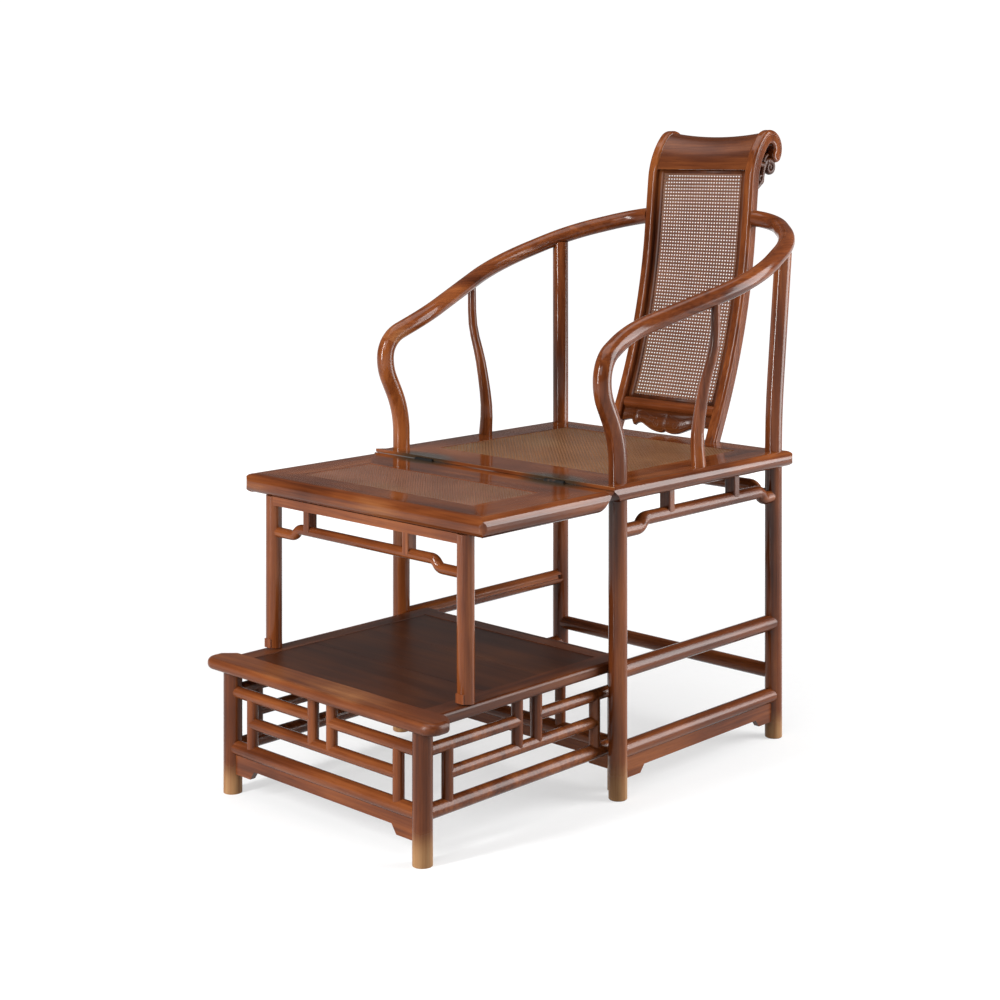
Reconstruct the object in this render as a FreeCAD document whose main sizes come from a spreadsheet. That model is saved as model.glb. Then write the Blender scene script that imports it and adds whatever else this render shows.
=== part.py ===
"""Reclining horseshoe armchair with a hinged leg rest and a pull-out footstool.

Millimetres, +Z up. The chair faces -Y and is symmetric about X = 0. "Left" is -X.
The floor is Z = 0. Y positions are given from the front edge of the seat.
"""
import FreeCAD, Part
import math
import os

import Sketcher

V = FreeCAD.Vector
doc = FreeCAD.newDocument("reclining_armchair")
sheet = doc.addObject("Spreadsheet::Sheet", "Sizes")
SIDES = (("left", -1), ("right", 1))


class Size:
    """A dimension that knows its number and the spreadsheet expression behind it."""

    def __init__(self, value, text):
        self.value = float(value)
        self.text = text

    def joined(self, other, sign, result):
        other_text = other.text if isinstance(other, Size) else repr(float(other))
        return Size(result(self.value, float(other)), "(%s %s %s)" % (self.text, sign, other_text))

    def __float__(self):
        return self.value

    def __add__(self, other):
        return self.joined(other, "+", lambda a, b: a + b)

    def __sub__(self, other):
        return self.joined(other, "-", lambda a, b: a - b)

    def __mul__(self, other):
        return self.joined(other, "*", lambda a, b: a * b)

    def __truediv__(self, other):
        return self.joined(other, "/", lambda a, b: a / b)

    def __neg__(self):
        return self * -1

    __radd__ = __add__
    __rmul__ = __mul__


def size(alias, value, note):
    """Put one driving dimension into the sheet and hand it back."""
    row = size.row
    size.row += 1
    sheet.set("A%d" % row, alias)
    sheet.set("B%d" % row, str(value))
    sheet.set("C%d" % row, note)
    sheet.setAlias("B%d" % row, alias)
    return Size(value, "Sizes." + alias)


size.row = 1

# Seat and legs
seat_front_y = size("seat_front_y", -142.3, "front edge of the seat in the part's frame")
seat_top = size("seat_top", 500, "height of the seat")
seat_half_width = size("seat_half_width", 274, "half the width over the rounded edges")
seat_depth = size("seat_depth", 490, "front edge to rear edge")
seat_thick = size("seat_thick", 27, "thickness of the seat rails")
front_rail_width = size("front_rail_width", 92, "seat front rail")
side_rail_width = size("side_rail_width", 84, "seat side rails")
rear_rail_width = size("rear_rail_width", 79, "seat rear rail")
edge_round = size("edge_round", 13, "half-round outer edges of the rails")
corner_round = size("corner_round", 9, "rounded outer corners of the seat and the leg rest")
seat_bevel = size("seat_bevel", 22, "bevel under the front edge, one half of the hinge groove")
leg_dia = size("leg_dia", 30, "chair legs, posts and arms")
leg_edge_set = size("leg_edge_set", 25, "leg axes in from the outer edge of the seat")
front_leg_set = size("front_leg_set", 38, "front leg axes behind the seat front")
rear_leg_edge_set = size("rear_leg_edge_set", 28, "rear leg axes in from the rear edge of the seat")
foot_round = size("foot_round", 2, "eased edge at the foot of a leg")
fit_gap = size("fit_gap", 0.1, "play of a leg in its hole")
cane_thick = size("cane_thick", 4, "woven cane panels with their backing mat")
cane_drop = size("cane_drop", 0.6, "cane face below the rail tops")
cane_land = size("cane_land", 8, "ledge that carries the edge of the cane")
batten_width = size("batten_width", 24, "bars under the cane")
batten_thick = size("batten_thick", 16, "bars under the cane")
batten_drop = size("batten_drop", 6.4, "room for the cane to sag over the bars")
batten_front_set = size("batten_front_set", 185, "front bar behind the seat front")
batten_rear_set = size("batten_rear_set", 300, "rear bar behind the seat front")

# Posts, arms and side supports
post_foot_z = size("post_foot_z", 566, "corner where the front post swings forward")
post_foot_round = size("post_foot_round", 165, "bend radius there")
post_waist_z = size("post_waist_z", 642, "corner where the post turns upright again")
post_waist_round = size("post_waist_round", 80, "bend radius there")
post_swing = size("post_swing", 38.5, "how far the front post swings forward of its leg")
arm_bend_z = size("arm_bend_z", 695, "corner where the post turns back into the arm")
arm_bend_round = size("arm_bend_round", 50, "bend radius there")
arm_tuck_in = size("arm_tuck_in", 16, "arm behind the front bend, inward from the leg axes")
arm_tuck_y = size("arm_tuck_y", 85, "the same corner behind the seat front")
arm_tuck_z = size("arm_tuck_z", 733, "the same corner's height")
arm_tuck_round = size("arm_tuck_round", 190, "bend radius there")
arm_wide_out = size("arm_wide_out", 57, "widest corner of the arm, outward from the leg axes")
arm_wide_y = size("arm_wide_y", 335, "the same corner behind the seat front")
arm_wide_z = size("arm_wide_z", 810, "the same corner's height")
arm_wide_round = size("arm_wide_round", 300, "bend radius there")
arm_rear_out = size("arm_rear_out", 11, "corner behind the rear post, outward from the leg axes")
arm_rear_back = size("arm_rear_back", 37, "the same corner behind the rear leg axes")
arm_rear_z = size("arm_rear_z", 866, "the same corner's height")
arm_rear_round = size("arm_rear_round", 215, "bend radius there")
arm_back_out = size("arm_back_out", 48, "last corner of the arm, outward from the back stile")
arm_back_z = size("arm_back_z", 895, "the same corner's height")
arm_back_round = size("arm_back_round", 105, "bend radius there")
arm_end_back = size("arm_end_back", 116.2, "end of the arm behind the foot of the back")
arm_end_z = size("arm_end_z", 902, "height where the arm meets the back")
rear_post_bend_z = size("rear_post_bend_z", 560, "corner where the rear post starts to lean")
rear_post_round = size("rear_post_round", 2200, "bend radius there")
rear_post_lean_x = size("rear_post_lean_x", 12, "outward lean of the rear post at the arm")
rear_post_lean_y = size("rear_post_lean_y", 13, "backward lean of the rear post at the arm")
rear_post_top_z = size("rear_post_top_z", 848, "top of the rear post, inside the curve of the arm")
support_set = size("support_set", 250, "side supports behind the seat front")
support_edge_set = size("support_edge_set", 27, "support foot in from the outer edge of the seat")
support_knee_in = size("support_knee_in", 2.5, "support above its foot, inward from the foot")
support_knee_z = size("support_knee_z", 555, "height of that point")
support_mid_out = size("support_mid_out", 12, "support at mid height, outward from the foot")
support_mid_z = size("support_mid_z", 634, "height of that point")
support_neck_out = size("support_neck_out", 32.5, "support below the arm, outward from the foot")
support_neck_z = size("support_neck_z", 702, "height of that point")
support_top_out = size("support_top_out", 35, "support under the arm, outward from the foot")
support_top_z = size("support_top_z", 776, "top of a support, inside the curve of the arm")
support_foot_dia = size("support_foot_dia", 25, "foot of a support")
support_knee_dia = size("support_knee_dia", 22, "support above its foot")
support_mid_dia = size("support_mid_dia", 19, "support at mid height")
support_neck_dia = size("support_neck_dia", 16.5, "support below the arm")
support_top_dia = size("support_top_dia", 15, "top of a support")

# Stretchers, humpbacks and aprons of the chair
hump_dia = size("hump_dia", 22.5, "humpback stretchers")
hump_end_z = size("hump_end_z", 421.5, "humpback where it meets the legs")
hump_rise = size("hump_rise", 12.5, "rise of the raised middle")
hump_run = size("hump_run", 10, "length of the rising step between its corners")
hump_front_in = size("hump_front_in", 53, "first corner of the step from a front leg axis")
hump_rear_in = size("hump_rear_in", 33, "first corner of the step from a rear leg axis")
hump_round = size("hump_round", 15, "bend radius of the step")
strut_width = size("strut_width", 15.5, "struts over the humpbacks")
strut_depth = size("strut_depth", 21.5, "struts over the humpbacks")
strut_round = size("strut_round", 3, "eased edges of the struts")
side_strut_front_set = size("side_strut_front_set", 163.5, "front side strut behind the seat front")
side_strut_rear_set = size("side_strut_rear_set", 341, "rear side strut behind the seat front")
rear_strut_x = size("rear_strut_x", 110, "rear struts from the middle")
side_stretcher_z = size("side_stretcher_z", 202, "upper side stretchers")
side_stretcher_dia = size("side_stretcher_dia", 27, "upper side stretchers")
groove_height = size("groove_height", 8, "groove inside each upper side stretcher")
groove_depth = size("groove_depth", 7, "depth of that groove")
rear_stretcher_z = size("rear_stretcher_z", 114, "rear stretcher")
rear_stretcher_dia = size("rear_stretcher_dia", 25, "rear stretcher")
low_stretcher_z = size("low_stretcher_z", 75, "lower side stretchers")
low_stretcher_dia = size("low_stretcher_dia", 26, "lower side stretchers")
apron_thick = size("apron_thick", 10, "aprons under the lowest rails")
apron_end_z = size("apron_end_z", 30, "lower edge at the legs")
apron_mid_z = size("apron_mid_z", 42, "lower edge between the end steps")
apron_step = size("apron_step", 50, "length of the end steps from the leg axis")
apron_slope = size("apron_slope", 10, "length of the sloping end of a step")

# Back
back_half_width = size("back_half_width", 124, "half the width over the stiles")
stile_width = size("stile_width", 20, "stiles seen from the front")
stile_depth = size("stile_depth", 26, "stiles seen from the side")
stile_round = size("stile_round", 6, "rounded edges of the stiles")
back_foot_edge_set = size("back_foot_edge_set", 25.2, "stile axis on the seat, in from the rear edge")
back_knee_lean = size("back_knee_lean", 91.7, "corner of the lower curve behind the stile's foot")
back_knee_z = size("back_knee_z", 699.4, "the same corner's height")
back_knee_round = size("back_knee_round", 1080, "radius of the lower curve")
back_neck_lean = size("back_neck_lean", 124.7, "corner of the upper curve behind the stile's foot")
back_neck_z = size("back_neck_z", 1013.5, "the same corner's height")
back_neck_round = size("back_neck_round", 125, "radius of the upper curve")
scroll_start_lean = size("scroll_start_lean", 156.4, "start of the scroll behind the stile's foot")
scroll_start_z = size("scroll_start_z", 1045.2, "start of the scroll")
scroll_radius = size("scroll_radius", 22.5, "centre line of the scroll")
scroll_turn = size("scroll_turn", 170, "turn of the scroll in degrees")
crest_dip = size("crest_dip", 8, "how far the crest dips in the middle")
board_thick = size("board_thick", 16, "headrest board")
board_foot_z = size("board_foot_z", 990, "lower edge of the headrest board")
back_rail_dia = size("back_rail_dia", 20, "rounded rail under the back cane")
back_rail_z = size("back_rail_z", 551, "height of that rail")
back_cane_thick = size("back_cane_thick", 3, "open cane of the back")
back_apron_thick = size("back_apron_thick", 9, "carved apron under that rail")
back_apron_end_z = size("back_apron_end_z", 526, "lower edge of that apron at the stiles")
back_apron_mid_z = size("back_apron_mid_z", 508, "lower edge of its hanging middle")
back_apron_lobe = size("back_apron_lobe", 46, "half the width of the hanging middle")
back_apron_lobe_rise = size("back_apron_lobe_rise", 2, "ends of the hanging middle above its lowest edge")
back_apron_cusp = size("back_apron_cusp", 80, "small cusp from the middle")
back_apron_cusp_drop = size("back_apron_cusp_drop", 6, "how far the cusp hangs")
bracket_thick = size("bracket_thick", 12, "openwork brackets behind the scroll")
bracket_foot_z = size("bracket_foot_z", 955, "foot of a bracket")
bracket_foot_width = size("bracket_foot_width", 23, "foot of a bracket behind the stile")
bracket_arm_z = size("bracket_arm_z", 986, "underside of a bracket's arm")
bracket_arm_height = size("bracket_arm_height", 22, "knob at the tip of a bracket")
bracket_reach = size("bracket_reach", 56, "how far a bracket reaches back")

# Leg rest
rest_top = size("rest_top", 494, "top of the leg rest")
rest_thick = size("rest_thick", 31, "rails of the leg rest")
rest_length = size("rest_length", 294, "front edge ahead of the seat front")
rest_gap = size("rest_gap", 2.5, "joint line between leg rest and seat")
rest_front_width = size("rest_front_width", 68, "front rail of the leg rest")
rest_rear_width = size("rest_rear_width", 94, "rear rail of the leg rest")
rest_side_width = size("rest_side_width", 90, "side rails of the leg rest")
rest_bevel = size("rest_bevel", 27, "bevel under the rear edge, the other half of the groove")
hinge_edge_set = size("hinge_edge_set", 124, "hinges in from the outer edge of the seat")
hinge_length = size("hinge_length", 42, "length of a hinge along its pin")
knuckle_radius = size("knuckle_radius", 3.5, "hinge knuckles")
hinge_pin_radius = size("hinge_pin_radius", 1.6, "hinge pins")
pin_play = size("pin_play", 0.05, "running play round a pin")
leaf_thick = size("leaf_thick", 2, "hinge leaves")
leaf_start = size("leaf_start", 5, "plate of a leaf from the pin")
leaf_reach = size("leaf_reach", 20, "leaf from the pin to its edge")
knuckle_room = size("knuckle_room", 0.5, "room round the knuckles in the rails")
knuckle_play = size("knuckle_play", 0.4, "gap between neighbouring knuckles")

# Folding leg frame under the leg rest
frame_leg_edge_set = size("frame_leg_edge_set", 54, "leg axes in from the edge of the leg rest")
frame_leg_set = size("frame_leg_set", 275, "leg axes ahead of the seat front")
frame_leg_dia = size("frame_leg_dia", 26.5, "legs of the folding frame")
frame_head_gap = size("frame_head_gap", 0.5, "leg tops and top rail below the leg rest")
frame_rail_height = size("frame_rail_height", 14.5, "top rail of the folding frame")
frame_rail_depth = size("frame_rail_depth", 20, "top rail of the folding frame and struts under it")
frame_hump_dia = size("frame_hump_dia", 16.5, "humpback of the folding frame")
frame_hump_z = size("frame_hump_z", 403.5, "humpback where it meets the legs")
frame_hump_rise = size("frame_hump_rise", 12, "rise of its middle")
frame_hump_run = size("frame_hump_run", 10, "length of its rising step between its corners")
frame_hump_in = size("frame_hump_in", 54, "first corner of its step from the leg axis")
frame_hump_round = size("frame_hump_round", 15, "bend radius of its step")
frame_strut_width = size("frame_strut_width", 13.5, "struts of the folding frame")
frame_strut_left_set = size("frame_strut_left_set", 90, "left strut from the left leg axis")
frame_strut_right_set = size("frame_strut_right_set", 120, "right strut from the right leg axis")
frame_hinge_set = size("frame_hinge_set", 50, "hinges of the folding frame from its leg axes")
frame_hinge_length = size("frame_hinge_length", 30, "length of those hinges")
frame_knuckle_radius = size("frame_knuckle_radius", 3, "knuckle radius of those hinges")
frame_leaf_reach = size("frame_leaf_reach", 11.5, "leaf from the pin to its edge")
frame_pin_back = size("frame_pin_back", 3.2, "pin behind the top rail")
frame_pin_drop = size("frame_pin_drop", 3.3, "pin below the leg rest")
foot_lift = size("foot_lift", 0.3, "feet above the footstool")
foot_swing_room = size("foot_swing_room", 2.2, "rise of the front of the sole so that it can swing")
foot_block_height = size("foot_block_height", 14, "block let into the front of each foot")
foot_block_width = size("foot_block_width", 15, "the same block")
foot_block_depth = size("foot_block_depth", 11, "the same block")
foot_block_proud = size("foot_block_proud", 0.5, "the same block in front of the leg")

# Footstool
stool_top = size("stool_top", 213, "top of the footstool")
stool_front_set = size("stool_front_set", 388, "front edge ahead of the seat front")
stool_rear_set = size("stool_rear_set", 80, "rear edge behind the seat front")
stool_side_gap = size("stool_side_gap", 2, "footstool to the chair's front leg on each side")
stool_front_width = size("stool_front_width", 52, "front rail with its ears")
stool_ear_reach = size("stool_ear_reach", 31, "ears beyond the side rails")
stool_front_thick = size("stool_front_thick", 18, "front rail")
stool_frame_thick = size("stool_frame_thick", 18, "side and rear rails")
stool_rail_width = size("stool_rail_width", 36, "side and rear rails")
stool_edge_round = size("stool_edge_round", 5, "rounded edges of the side and rear rails")
stool_ear_round = size("stool_ear_round", 22, "rounded front corners of the ears")
stool_ear_bevel = size("stool_ear_bevel", 15, "bevelled rear corners of the ears")
stool_nose_round = size("stool_nose_round", 8, "rounded edges of the front rail")
board_count = size("board_count", 3, "boards in the top")
board_drop = size("board_drop", 0.6, "boards below the rails")
board_height = size("board_height", 11, "thickness of the boards")
board_seam = size("board_seam", 0.4, "seam between the boards")
stool_leg_edge_set = size("stool_leg_edge_set", 14, "leg axes in from the side of the top")
stool_leg_front_set = size("stool_leg_front_set", 361, "front leg axes ahead of the seat front")
stool_leg_rear_set = size("stool_leg_rear_set", 67.5, "rear leg axes behind the seat front")
stool_leg_dia = size("stool_leg_dia", 30, "front legs of the footstool")
stool_rear_leg_dia = size("stool_rear_leg_dia", 24, "rear legs of the footstool")
lattice_dia = size("lattice_dia", 18.5, "upper and middle lattice rails")
lattice_strut_dia = size("lattice_strut_dia", 18, "lattice struts")
lattice_top_z = size("lattice_top_z", 162, "upper lattice rails")
lattice_mid_z = size("lattice_mid_z", 120, "middle lattice rail")
lattice_low_z = size("lattice_low_z", 73, "bottom rails")
lattice_low_dia = size("lattice_low_dia", 23, "bottom rails")
stool_apron_end_z = size("stool_apron_end_z", 32, "footstool aprons at the legs")
stool_apron_mid_z = size("stool_apron_mid_z", 46, "footstool aprons between the end steps")
centre_strut_set = size("centre_strut_set", 21.6, "centre struts from the middle of a side")
short_strut_set = size("short_strut_set", 50, "short struts from the leg axes")
side_strut_shift = size("side_strut_shift", 6, "centre struts of the sides behind the middle")
rear_strut_inner_x = size("rear_strut_inner_x", 44, "inner struts of the rear from the middle")
rear_strut_outer_x = size("rear_strut_outer_x", 101, "outer struts of the rear from the middle")
tongue_height = size("tongue_height", 6, "guide tongues in the grooves")
tongue_length = size("tongue_length", 26, "guide tongues in the grooves")
tongue_play = size("tongue_play", 1, "tongue to the bottom of its groove")
stop_gap = size("stop_gap", 0.5, "tongue to the front leg when pulled out")

# Places that follow from these sizes
leg_half_spacing = seat_half_width - leg_edge_set
support_foot_x = seat_half_width - support_edge_set
hinge_x = seat_half_width - hinge_edge_set
frame_leg_x = seat_half_width - frame_leg_edge_set
frame_hinge_x = frame_leg_x - frame_hinge_set
stool_half_width = leg_half_spacing - leg_dia / 2 - stool_side_gap
stool_ear = stool_half_width + stool_ear_reach
stool_leg_x = stool_half_width - stool_leg_edge_set
rear_leg_set = seat_depth - rear_leg_edge_set
back_foot_y = seat_depth - back_foot_edge_set
back_knee_y = back_foot_y + back_knee_lean
back_neck_y = back_foot_y + back_neck_lean
scroll_start_y = back_foot_y + scroll_start_lean
arm_tuck_x = leg_half_spacing - arm_tuck_in
arm_wide_x = leg_half_spacing + arm_wide_out
arm_rear_x = leg_half_spacing + arm_rear_out
arm_rear_y = rear_leg_set + arm_rear_back
arm_back_x = back_half_width + arm_back_out
arm_end_y = back_foot_y + arm_end_back
support_knee_x = support_foot_x - support_knee_in
support_mid_x = support_foot_x + support_mid_out
support_neck_x = support_foot_x + support_neck_out
support_top_x = support_foot_x + support_top_out

doc.recompute()


def from_front(value):
    """Y in the part's frame of a place so far behind the front edge of the seat."""
    return seat_front_y + value


def bind(obj, prop, value):
    """Bind one property to the sheet, or set it if it is a plain number."""
    if isinstance(value, Size):
        obj.setExpression(prop, value.text)
    else:
        obj.setExpression(prop, repr(float(value)))


def place(obj, at, rotation=None):
    """Bind the three coordinates of an object's place, and turn it."""
    if rotation is not None:
        obj.Placement = FreeCAD.Placement(V(0, 0, 0), rotation)
    for axis, value in zip("xyz", at):
        bind(obj, "Placement.Base." + axis, value)
    return obj


ALONG = {
    "x": FreeCAD.Rotation(V(0, 1, 0), 90),
    "y": FreeCAD.Rotation(V(1, 0, 0), -90),
    "z": FreeCAD.Rotation(),
}


def cylinder(label, radius, length, at, along):
    """Round bar from a point along one of the axes."""
    obj = doc.addObject("Part::Cylinder", label)
    bind(obj, "Radius", radius)
    bind(obj, "Height", length)
    return place(obj, at, ALONG[along])


def box(label, length, width, height, at):
    """Block with its lowest corner at a point."""
    obj = doc.addObject("Part::Box", label)
    bind(obj, "Length", length)
    bind(obj, "Width", width)
    bind(obj, "Height", height)
    return place(obj, at)


def solid(label, shape):
    """Piece whose form was worked out with shape functions from the sheet's numbers."""
    obj = doc.addObject("Part::Feature", label)
    obj.Shape = shape
    return obj


def group(label, members):
    """Several like pieces that share one node."""
    obj = doc.addObject("Part::Compound", label)
    obj.Links = members
    return obj


def cut(label, base, *tools):
    """Base fitted round its neighbours."""
    tool = tools[0] if len(tools) == 1 else group(label + "_tools", list(tools))
    obj = doc.addObject("Part::Cut", label)
    obj.Base = base
    obj.Tool = tool
    return obj


def origin_plane(body, role):
    return [plane for plane in body.Origin.OriginFeatures if plane.Role == role][0]


def padded_outline(label, role, corners, length, at, reverse=False):
    """Body padded from a closed outline whose corners are bound to the sheet."""
    body = doc.addObject("PartDesign::Body", label)
    sketch = body.newObject("Sketcher::SketchObject", label + "_outline")
    sketch.AttachmentSupport = (origin_plane(body, role), [""])
    sketch.MapMode = "FlatFace"
    points = [V(float(u), float(v), 0) for u, v in corners]
    for index, point in enumerate(points):
        sketch.addGeometry(Part.LineSegment(point, points[(index + 1) % len(points)]), False)
    for index in range(len(points)):
        following = (index + 1) % len(points)
        sketch.addConstraint(Sketcher.Constraint("Coincident", index, 2, following, 1))
    for index, corner in enumerate(corners):
        for kind, value in zip(("DistanceX", "DistanceY"), corner):
            number = sketch.addConstraint(Sketcher.Constraint(kind, -1, 1, index, 1, float(value)))
            if isinstance(value, Size):
                sketch.setExpression("Constraints[%d]" % number, value.text)
    pad = body.newObject("PartDesign::Pad", label + "_pad")
    pad.Profile = sketch
    pad.Reversed = reverse
    bind(pad, "Length", length)
    place(body, at)
    doc.recompute()
    return body


def dress_edges(body, kind, amount, chosen):
    """Fillet or chamfer the edges of a body's last feature that a test picks."""
    base = body.Tip
    names = ["Edge%d" % (number + 1) for number, edge in enumerate(base.Shape.Edges) if chosen(edge)]
    feature = body.newObject("PartDesign::" + kind, body.Name + "_" + kind.lower())
    feature.Base = (base, names)
    bind(feature, "Radius" if kind == "Fillet" else "Size", amount)
    doc.recompute()
    return body


def tangent_path(points, radii):
    """Wire of straight runs joined by tangent arcs, one radius for each inner corner."""
    edges = []
    start = points[0]
    for corner, before, after, radius in zip(points[1:-1], points[:-2], points[2:], radii):
        back = (before - corner).normalize()
        ahead = (after - corner).normalize()
        half_angle = back.getAngle(ahead) / 2
        reach = float(radius) / math.tan(half_angle)
        inward = (back + ahead).normalize()
        arc_start = corner + back * reach
        arc_end = corner + ahead * reach
        arc_middle = corner + inward * (float(radius) / math.sin(half_angle) - float(radius))
        if (arc_start - start).Length > 1e-4:
            edges.append(Part.LineSegment(start, arc_start).toShape())
        edges.append(Part.Arc(arc_start, arc_middle, arc_end).toShape())
        start = arc_end
    if (points[-1] - start).Length > 1e-4:
        edges.append(Part.LineSegment(start, points[-1]).toShape())
    return Part.Wire(edges)


def round_bar(path, radius):
    """Round bar along a path: a cylinder for each straight run, a ring segment for each bend."""
    runs = []
    for edge in path.Edges:
        first, last = edge.ParameterRange
        start = edge.valueAt(first)
        ring = Part.Circle(start, edge.tangentAt(first), float(radius))
        disc = Part.Face(Part.Wire([ring.toShape()]))
        if isinstance(edge.Curve, Part.Circle):
            runs.append(disc.revolve(edge.Curve.Center, edge.Curve.Axis, math.degrees(last - first)))
        else:
            runs.append(disc.extrude(edge.valueAt(last) - start))
    return runs[0].fuse(runs[1:]).removeSplitter()


def ease_foot(shape):
    """Round off the edge that stands on the floor."""
    low = [edge for edge in shape.Edges if edge.BoundBox.ZMax < 0.01]
    return shape.makeFillet(float(foot_round), low)


pieces = []


def piece(obj):
    """Mark a finished object as one of the nodes to hand over."""
    pieces.append(obj)
    return obj


def flat_edges(axis, value):
    """Test for level edges that lie in the plane across an axis at a value."""

    def chosen(edge):
        bounds = edge.BoundBox
        low = getattr(bounds, axis + "Min")
        high = getattr(bounds, axis + "Max")
        return bounds.ZLength < 0.01 and abs(low - float(value)) < 0.01 and abs(high - float(value)) < 0.01

    return chosen


def upright_edges(edge):
    """Test for upright edges."""
    return edge.BoundBox.XLength < 0.01 and edge.BoundBox.YLength < 0.01


def half_space(point, normal):
    """Large block on the side of a plane that its normal points to."""
    extent = 3000
    block = Part.makeBox(extent, extent, extent, V(-extent / 2, -extent / 2, 0))
    block.Placement = FreeCAD.Placement(point, FreeCAD.Rotation(V(0, 0, 1), normal))
    return block


def beyond_corner(before, corner, after):
    """Half space beyond the plane that halves the bend at a corner of a path."""
    along = (corner - before).normalize() + (after - corner).normalize()
    return half_space(corner, along)


# Each front leg runs up through the seat into an S-curved post and on into the arm. The whole line
# is one round bar, divided at the scarf in the front bend and at the scarf behind the rear post.
leg_radius = leg_dia / 2
seat_bottom = seat_top - seat_thick
front_leg_y = from_front(front_leg_set)
rear_leg_y = from_front(rear_leg_set)
swing_y = front_leg_y - post_swing
arm_end_place = from_front(arm_end_y)
ARM_ROUNDS = [post_foot_round, post_waist_round, arm_bend_round, arm_tuck_round,
              arm_wide_round, arm_rear_round, arm_back_round]


def arm_corners(side):
    """Corners of the line of leg, post and arm on one side, from the floor into the back."""
    inside_back = back_half_width - stile_width / 2
    corners = [
        (leg_half_spacing, front_leg_y, 0),
        (leg_half_spacing, front_leg_y, post_foot_z),
        (leg_half_spacing, swing_y, post_waist_z),
        (leg_half_spacing, swing_y, arm_bend_z),
        (arm_tuck_x, from_front(arm_tuck_y), arm_tuck_z),
        (arm_wide_x, from_front(arm_wide_y), arm_wide_z),
        (arm_rear_x, from_front(arm_rear_y), arm_rear_z),
        (arm_back_x, arm_end_place, arm_back_z),
        (inside_back, arm_end_place, arm_end_z),
    ]
    return [V(side * float(x), float(y), float(z)) for x, y, z in corners]


legs = {}
arms = {}
for name, side in SIDES:
    corners = arm_corners(side)
    bar = round_bar(tangent_path(corners, ARM_ROUNDS), leg_radius)
    past_front_scarf = beyond_corner(*corners[2:5])
    past_rear_scarf = beyond_corner(*corners[5:8])
    within_back = half_space(V(side * float(back_half_width), 0, 0), V(-side, 0, 0))
    arm = bar.common(past_front_scarf)
    legs["front", side] = piece(solid("front_leg_" + name, ease_foot(bar.cut(past_front_scarf))))
    arms["front", side] = piece(solid("arm_front_" + name, arm.cut(past_rear_scarf)))
    arms["rear", side] = piece(solid("arm_rear_" + name, arm.common(past_rear_scarf).cut(within_back)))

# Rear legs lean out and back above the seat, and are fitted under the arms.
for name, side in SIDES:
    foot = V(side * float(leg_half_spacing), float(rear_leg_y), 0)
    bend = foot + V(0, 0, float(rear_post_bend_z))
    lean = V(side * float(rear_post_lean_x), float(rear_post_lean_y), 0)
    head = foot + lean + V(0, 0, float(rear_post_top_z))
    bar = round_bar(tangent_path([foot, bend, head], [rear_post_round]), leg_radius)
    blank = solid("rear_leg_blank_" + name, ease_foot(bar))
    legs["rear", side] = piece(cut("rear_leg_" + name, blank, arms["front", side], arms["rear", side]))

# Curved supports taper from the side rails up to the underside of the arms.
support_steps = [
    (support_foot_x, seat_top, support_foot_dia),
    (support_knee_x, support_knee_z, support_knee_dia),
    (support_mid_x, support_mid_z, support_mid_dia),
    (support_neck_x, support_neck_z, support_neck_dia),
    (support_top_x, support_top_z, support_top_dia),
]


def eased(before, start, finish, after, share):
    """Value on a smooth curve from start to finish, given the steps before and after."""
    leave = (finish - before) / 2
    arrive = (after - start) / 2
    square = share * share
    cube = square * share
    rising = 3 * square - 2 * cube
    bent = leave * (cube - 2 * square + share) + arrive * (cube - square)
    return start + (finish - start) * rising + bent


def support_rings(side, parts_per_step):
    """Level rings of a support, with smooth steps between the named ones."""
    rows = [[float(value) for value in step] for step in support_steps]
    rows = [rows[0]] + rows + [rows[-1]]
    rings = []
    for before, start, finish, after in zip(rows, rows[1:], rows[2:], rows[3:]):
        for part in range(parts_per_step):
            share = part / parts_per_step
            x, z, width = [eased(*values, share) for values in zip(before, start, finish, after)]
            rings.append((x, z, width))
    rings.append(rows[-1])
    y = float(from_front(support_set))
    circles = [Part.Circle(V(side * x, y, z), V(0, 0, 1), width / 2) for x, z, width in rings]
    return [Part.Wire([circle.toShape()]) for circle in circles]


supports = []
for name, side in SIDES:
    blank = solid("support_blank_" + name, Part.makeLoft(support_rings(side, 3), True, True))
    supports.append(cut("arm_support_" + name, blank, arms["front", side]))
piece(group("arm_supports", supports))


# Seat: four mitred rails round a cane panel, with bars under it.
def mitred_frame(label, half_width, front, rear, widths, top, thick):
    """Four rails whose ends meet on the mitre, as bodies by position."""
    front_width, rear_width, side_width = widths
    inner = half_width - side_width
    outlines = {
        "front": [(-half_width, front), (half_width, front),
                  (inner, front + front_width), (-inner, front + front_width)],
        "rear": [(-half_width, rear), (-inner, rear - rear_width),
                 (inner, rear - rear_width), (half_width, rear)],
        "left": [(-half_width, front), (-inner, front + front_width),
                 (-inner, rear - rear_width), (-half_width, rear)],
        "right": [(half_width, front), (half_width, rear),
                  (inner, rear - rear_width), (inner, front + front_width)],
    }
    rails = {}
    for where, outline in outlines.items():
        rails[where] = padded_outline(label + "_blank_" + where, "XY_Plane", outline, thick,
                                      (0, 0, top - thick))
    for where, sign in SIDES:
        dress_edges(rails[where], "Fillet", edge_round, flat_edges("X", half_width * sign))
    return rails


def groove_wedge(label, edge_y, inward, bottom, bevel):
    """Wedge that bevels the underside at the hinge joint, across the whole width of a frame."""
    past = 1
    corners = [
        (edge_y - inward * past, bottom + bevel + past),
        (edge_y + (bevel + past) * inward, bottom - past),
        (edge_y - inward * past, bottom - past),
    ]
    half_length = seat_half_width + past
    return padded_outline(label, "YZ_Plane", corners, half_length * 2, (-half_length, 0, 0))


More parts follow.
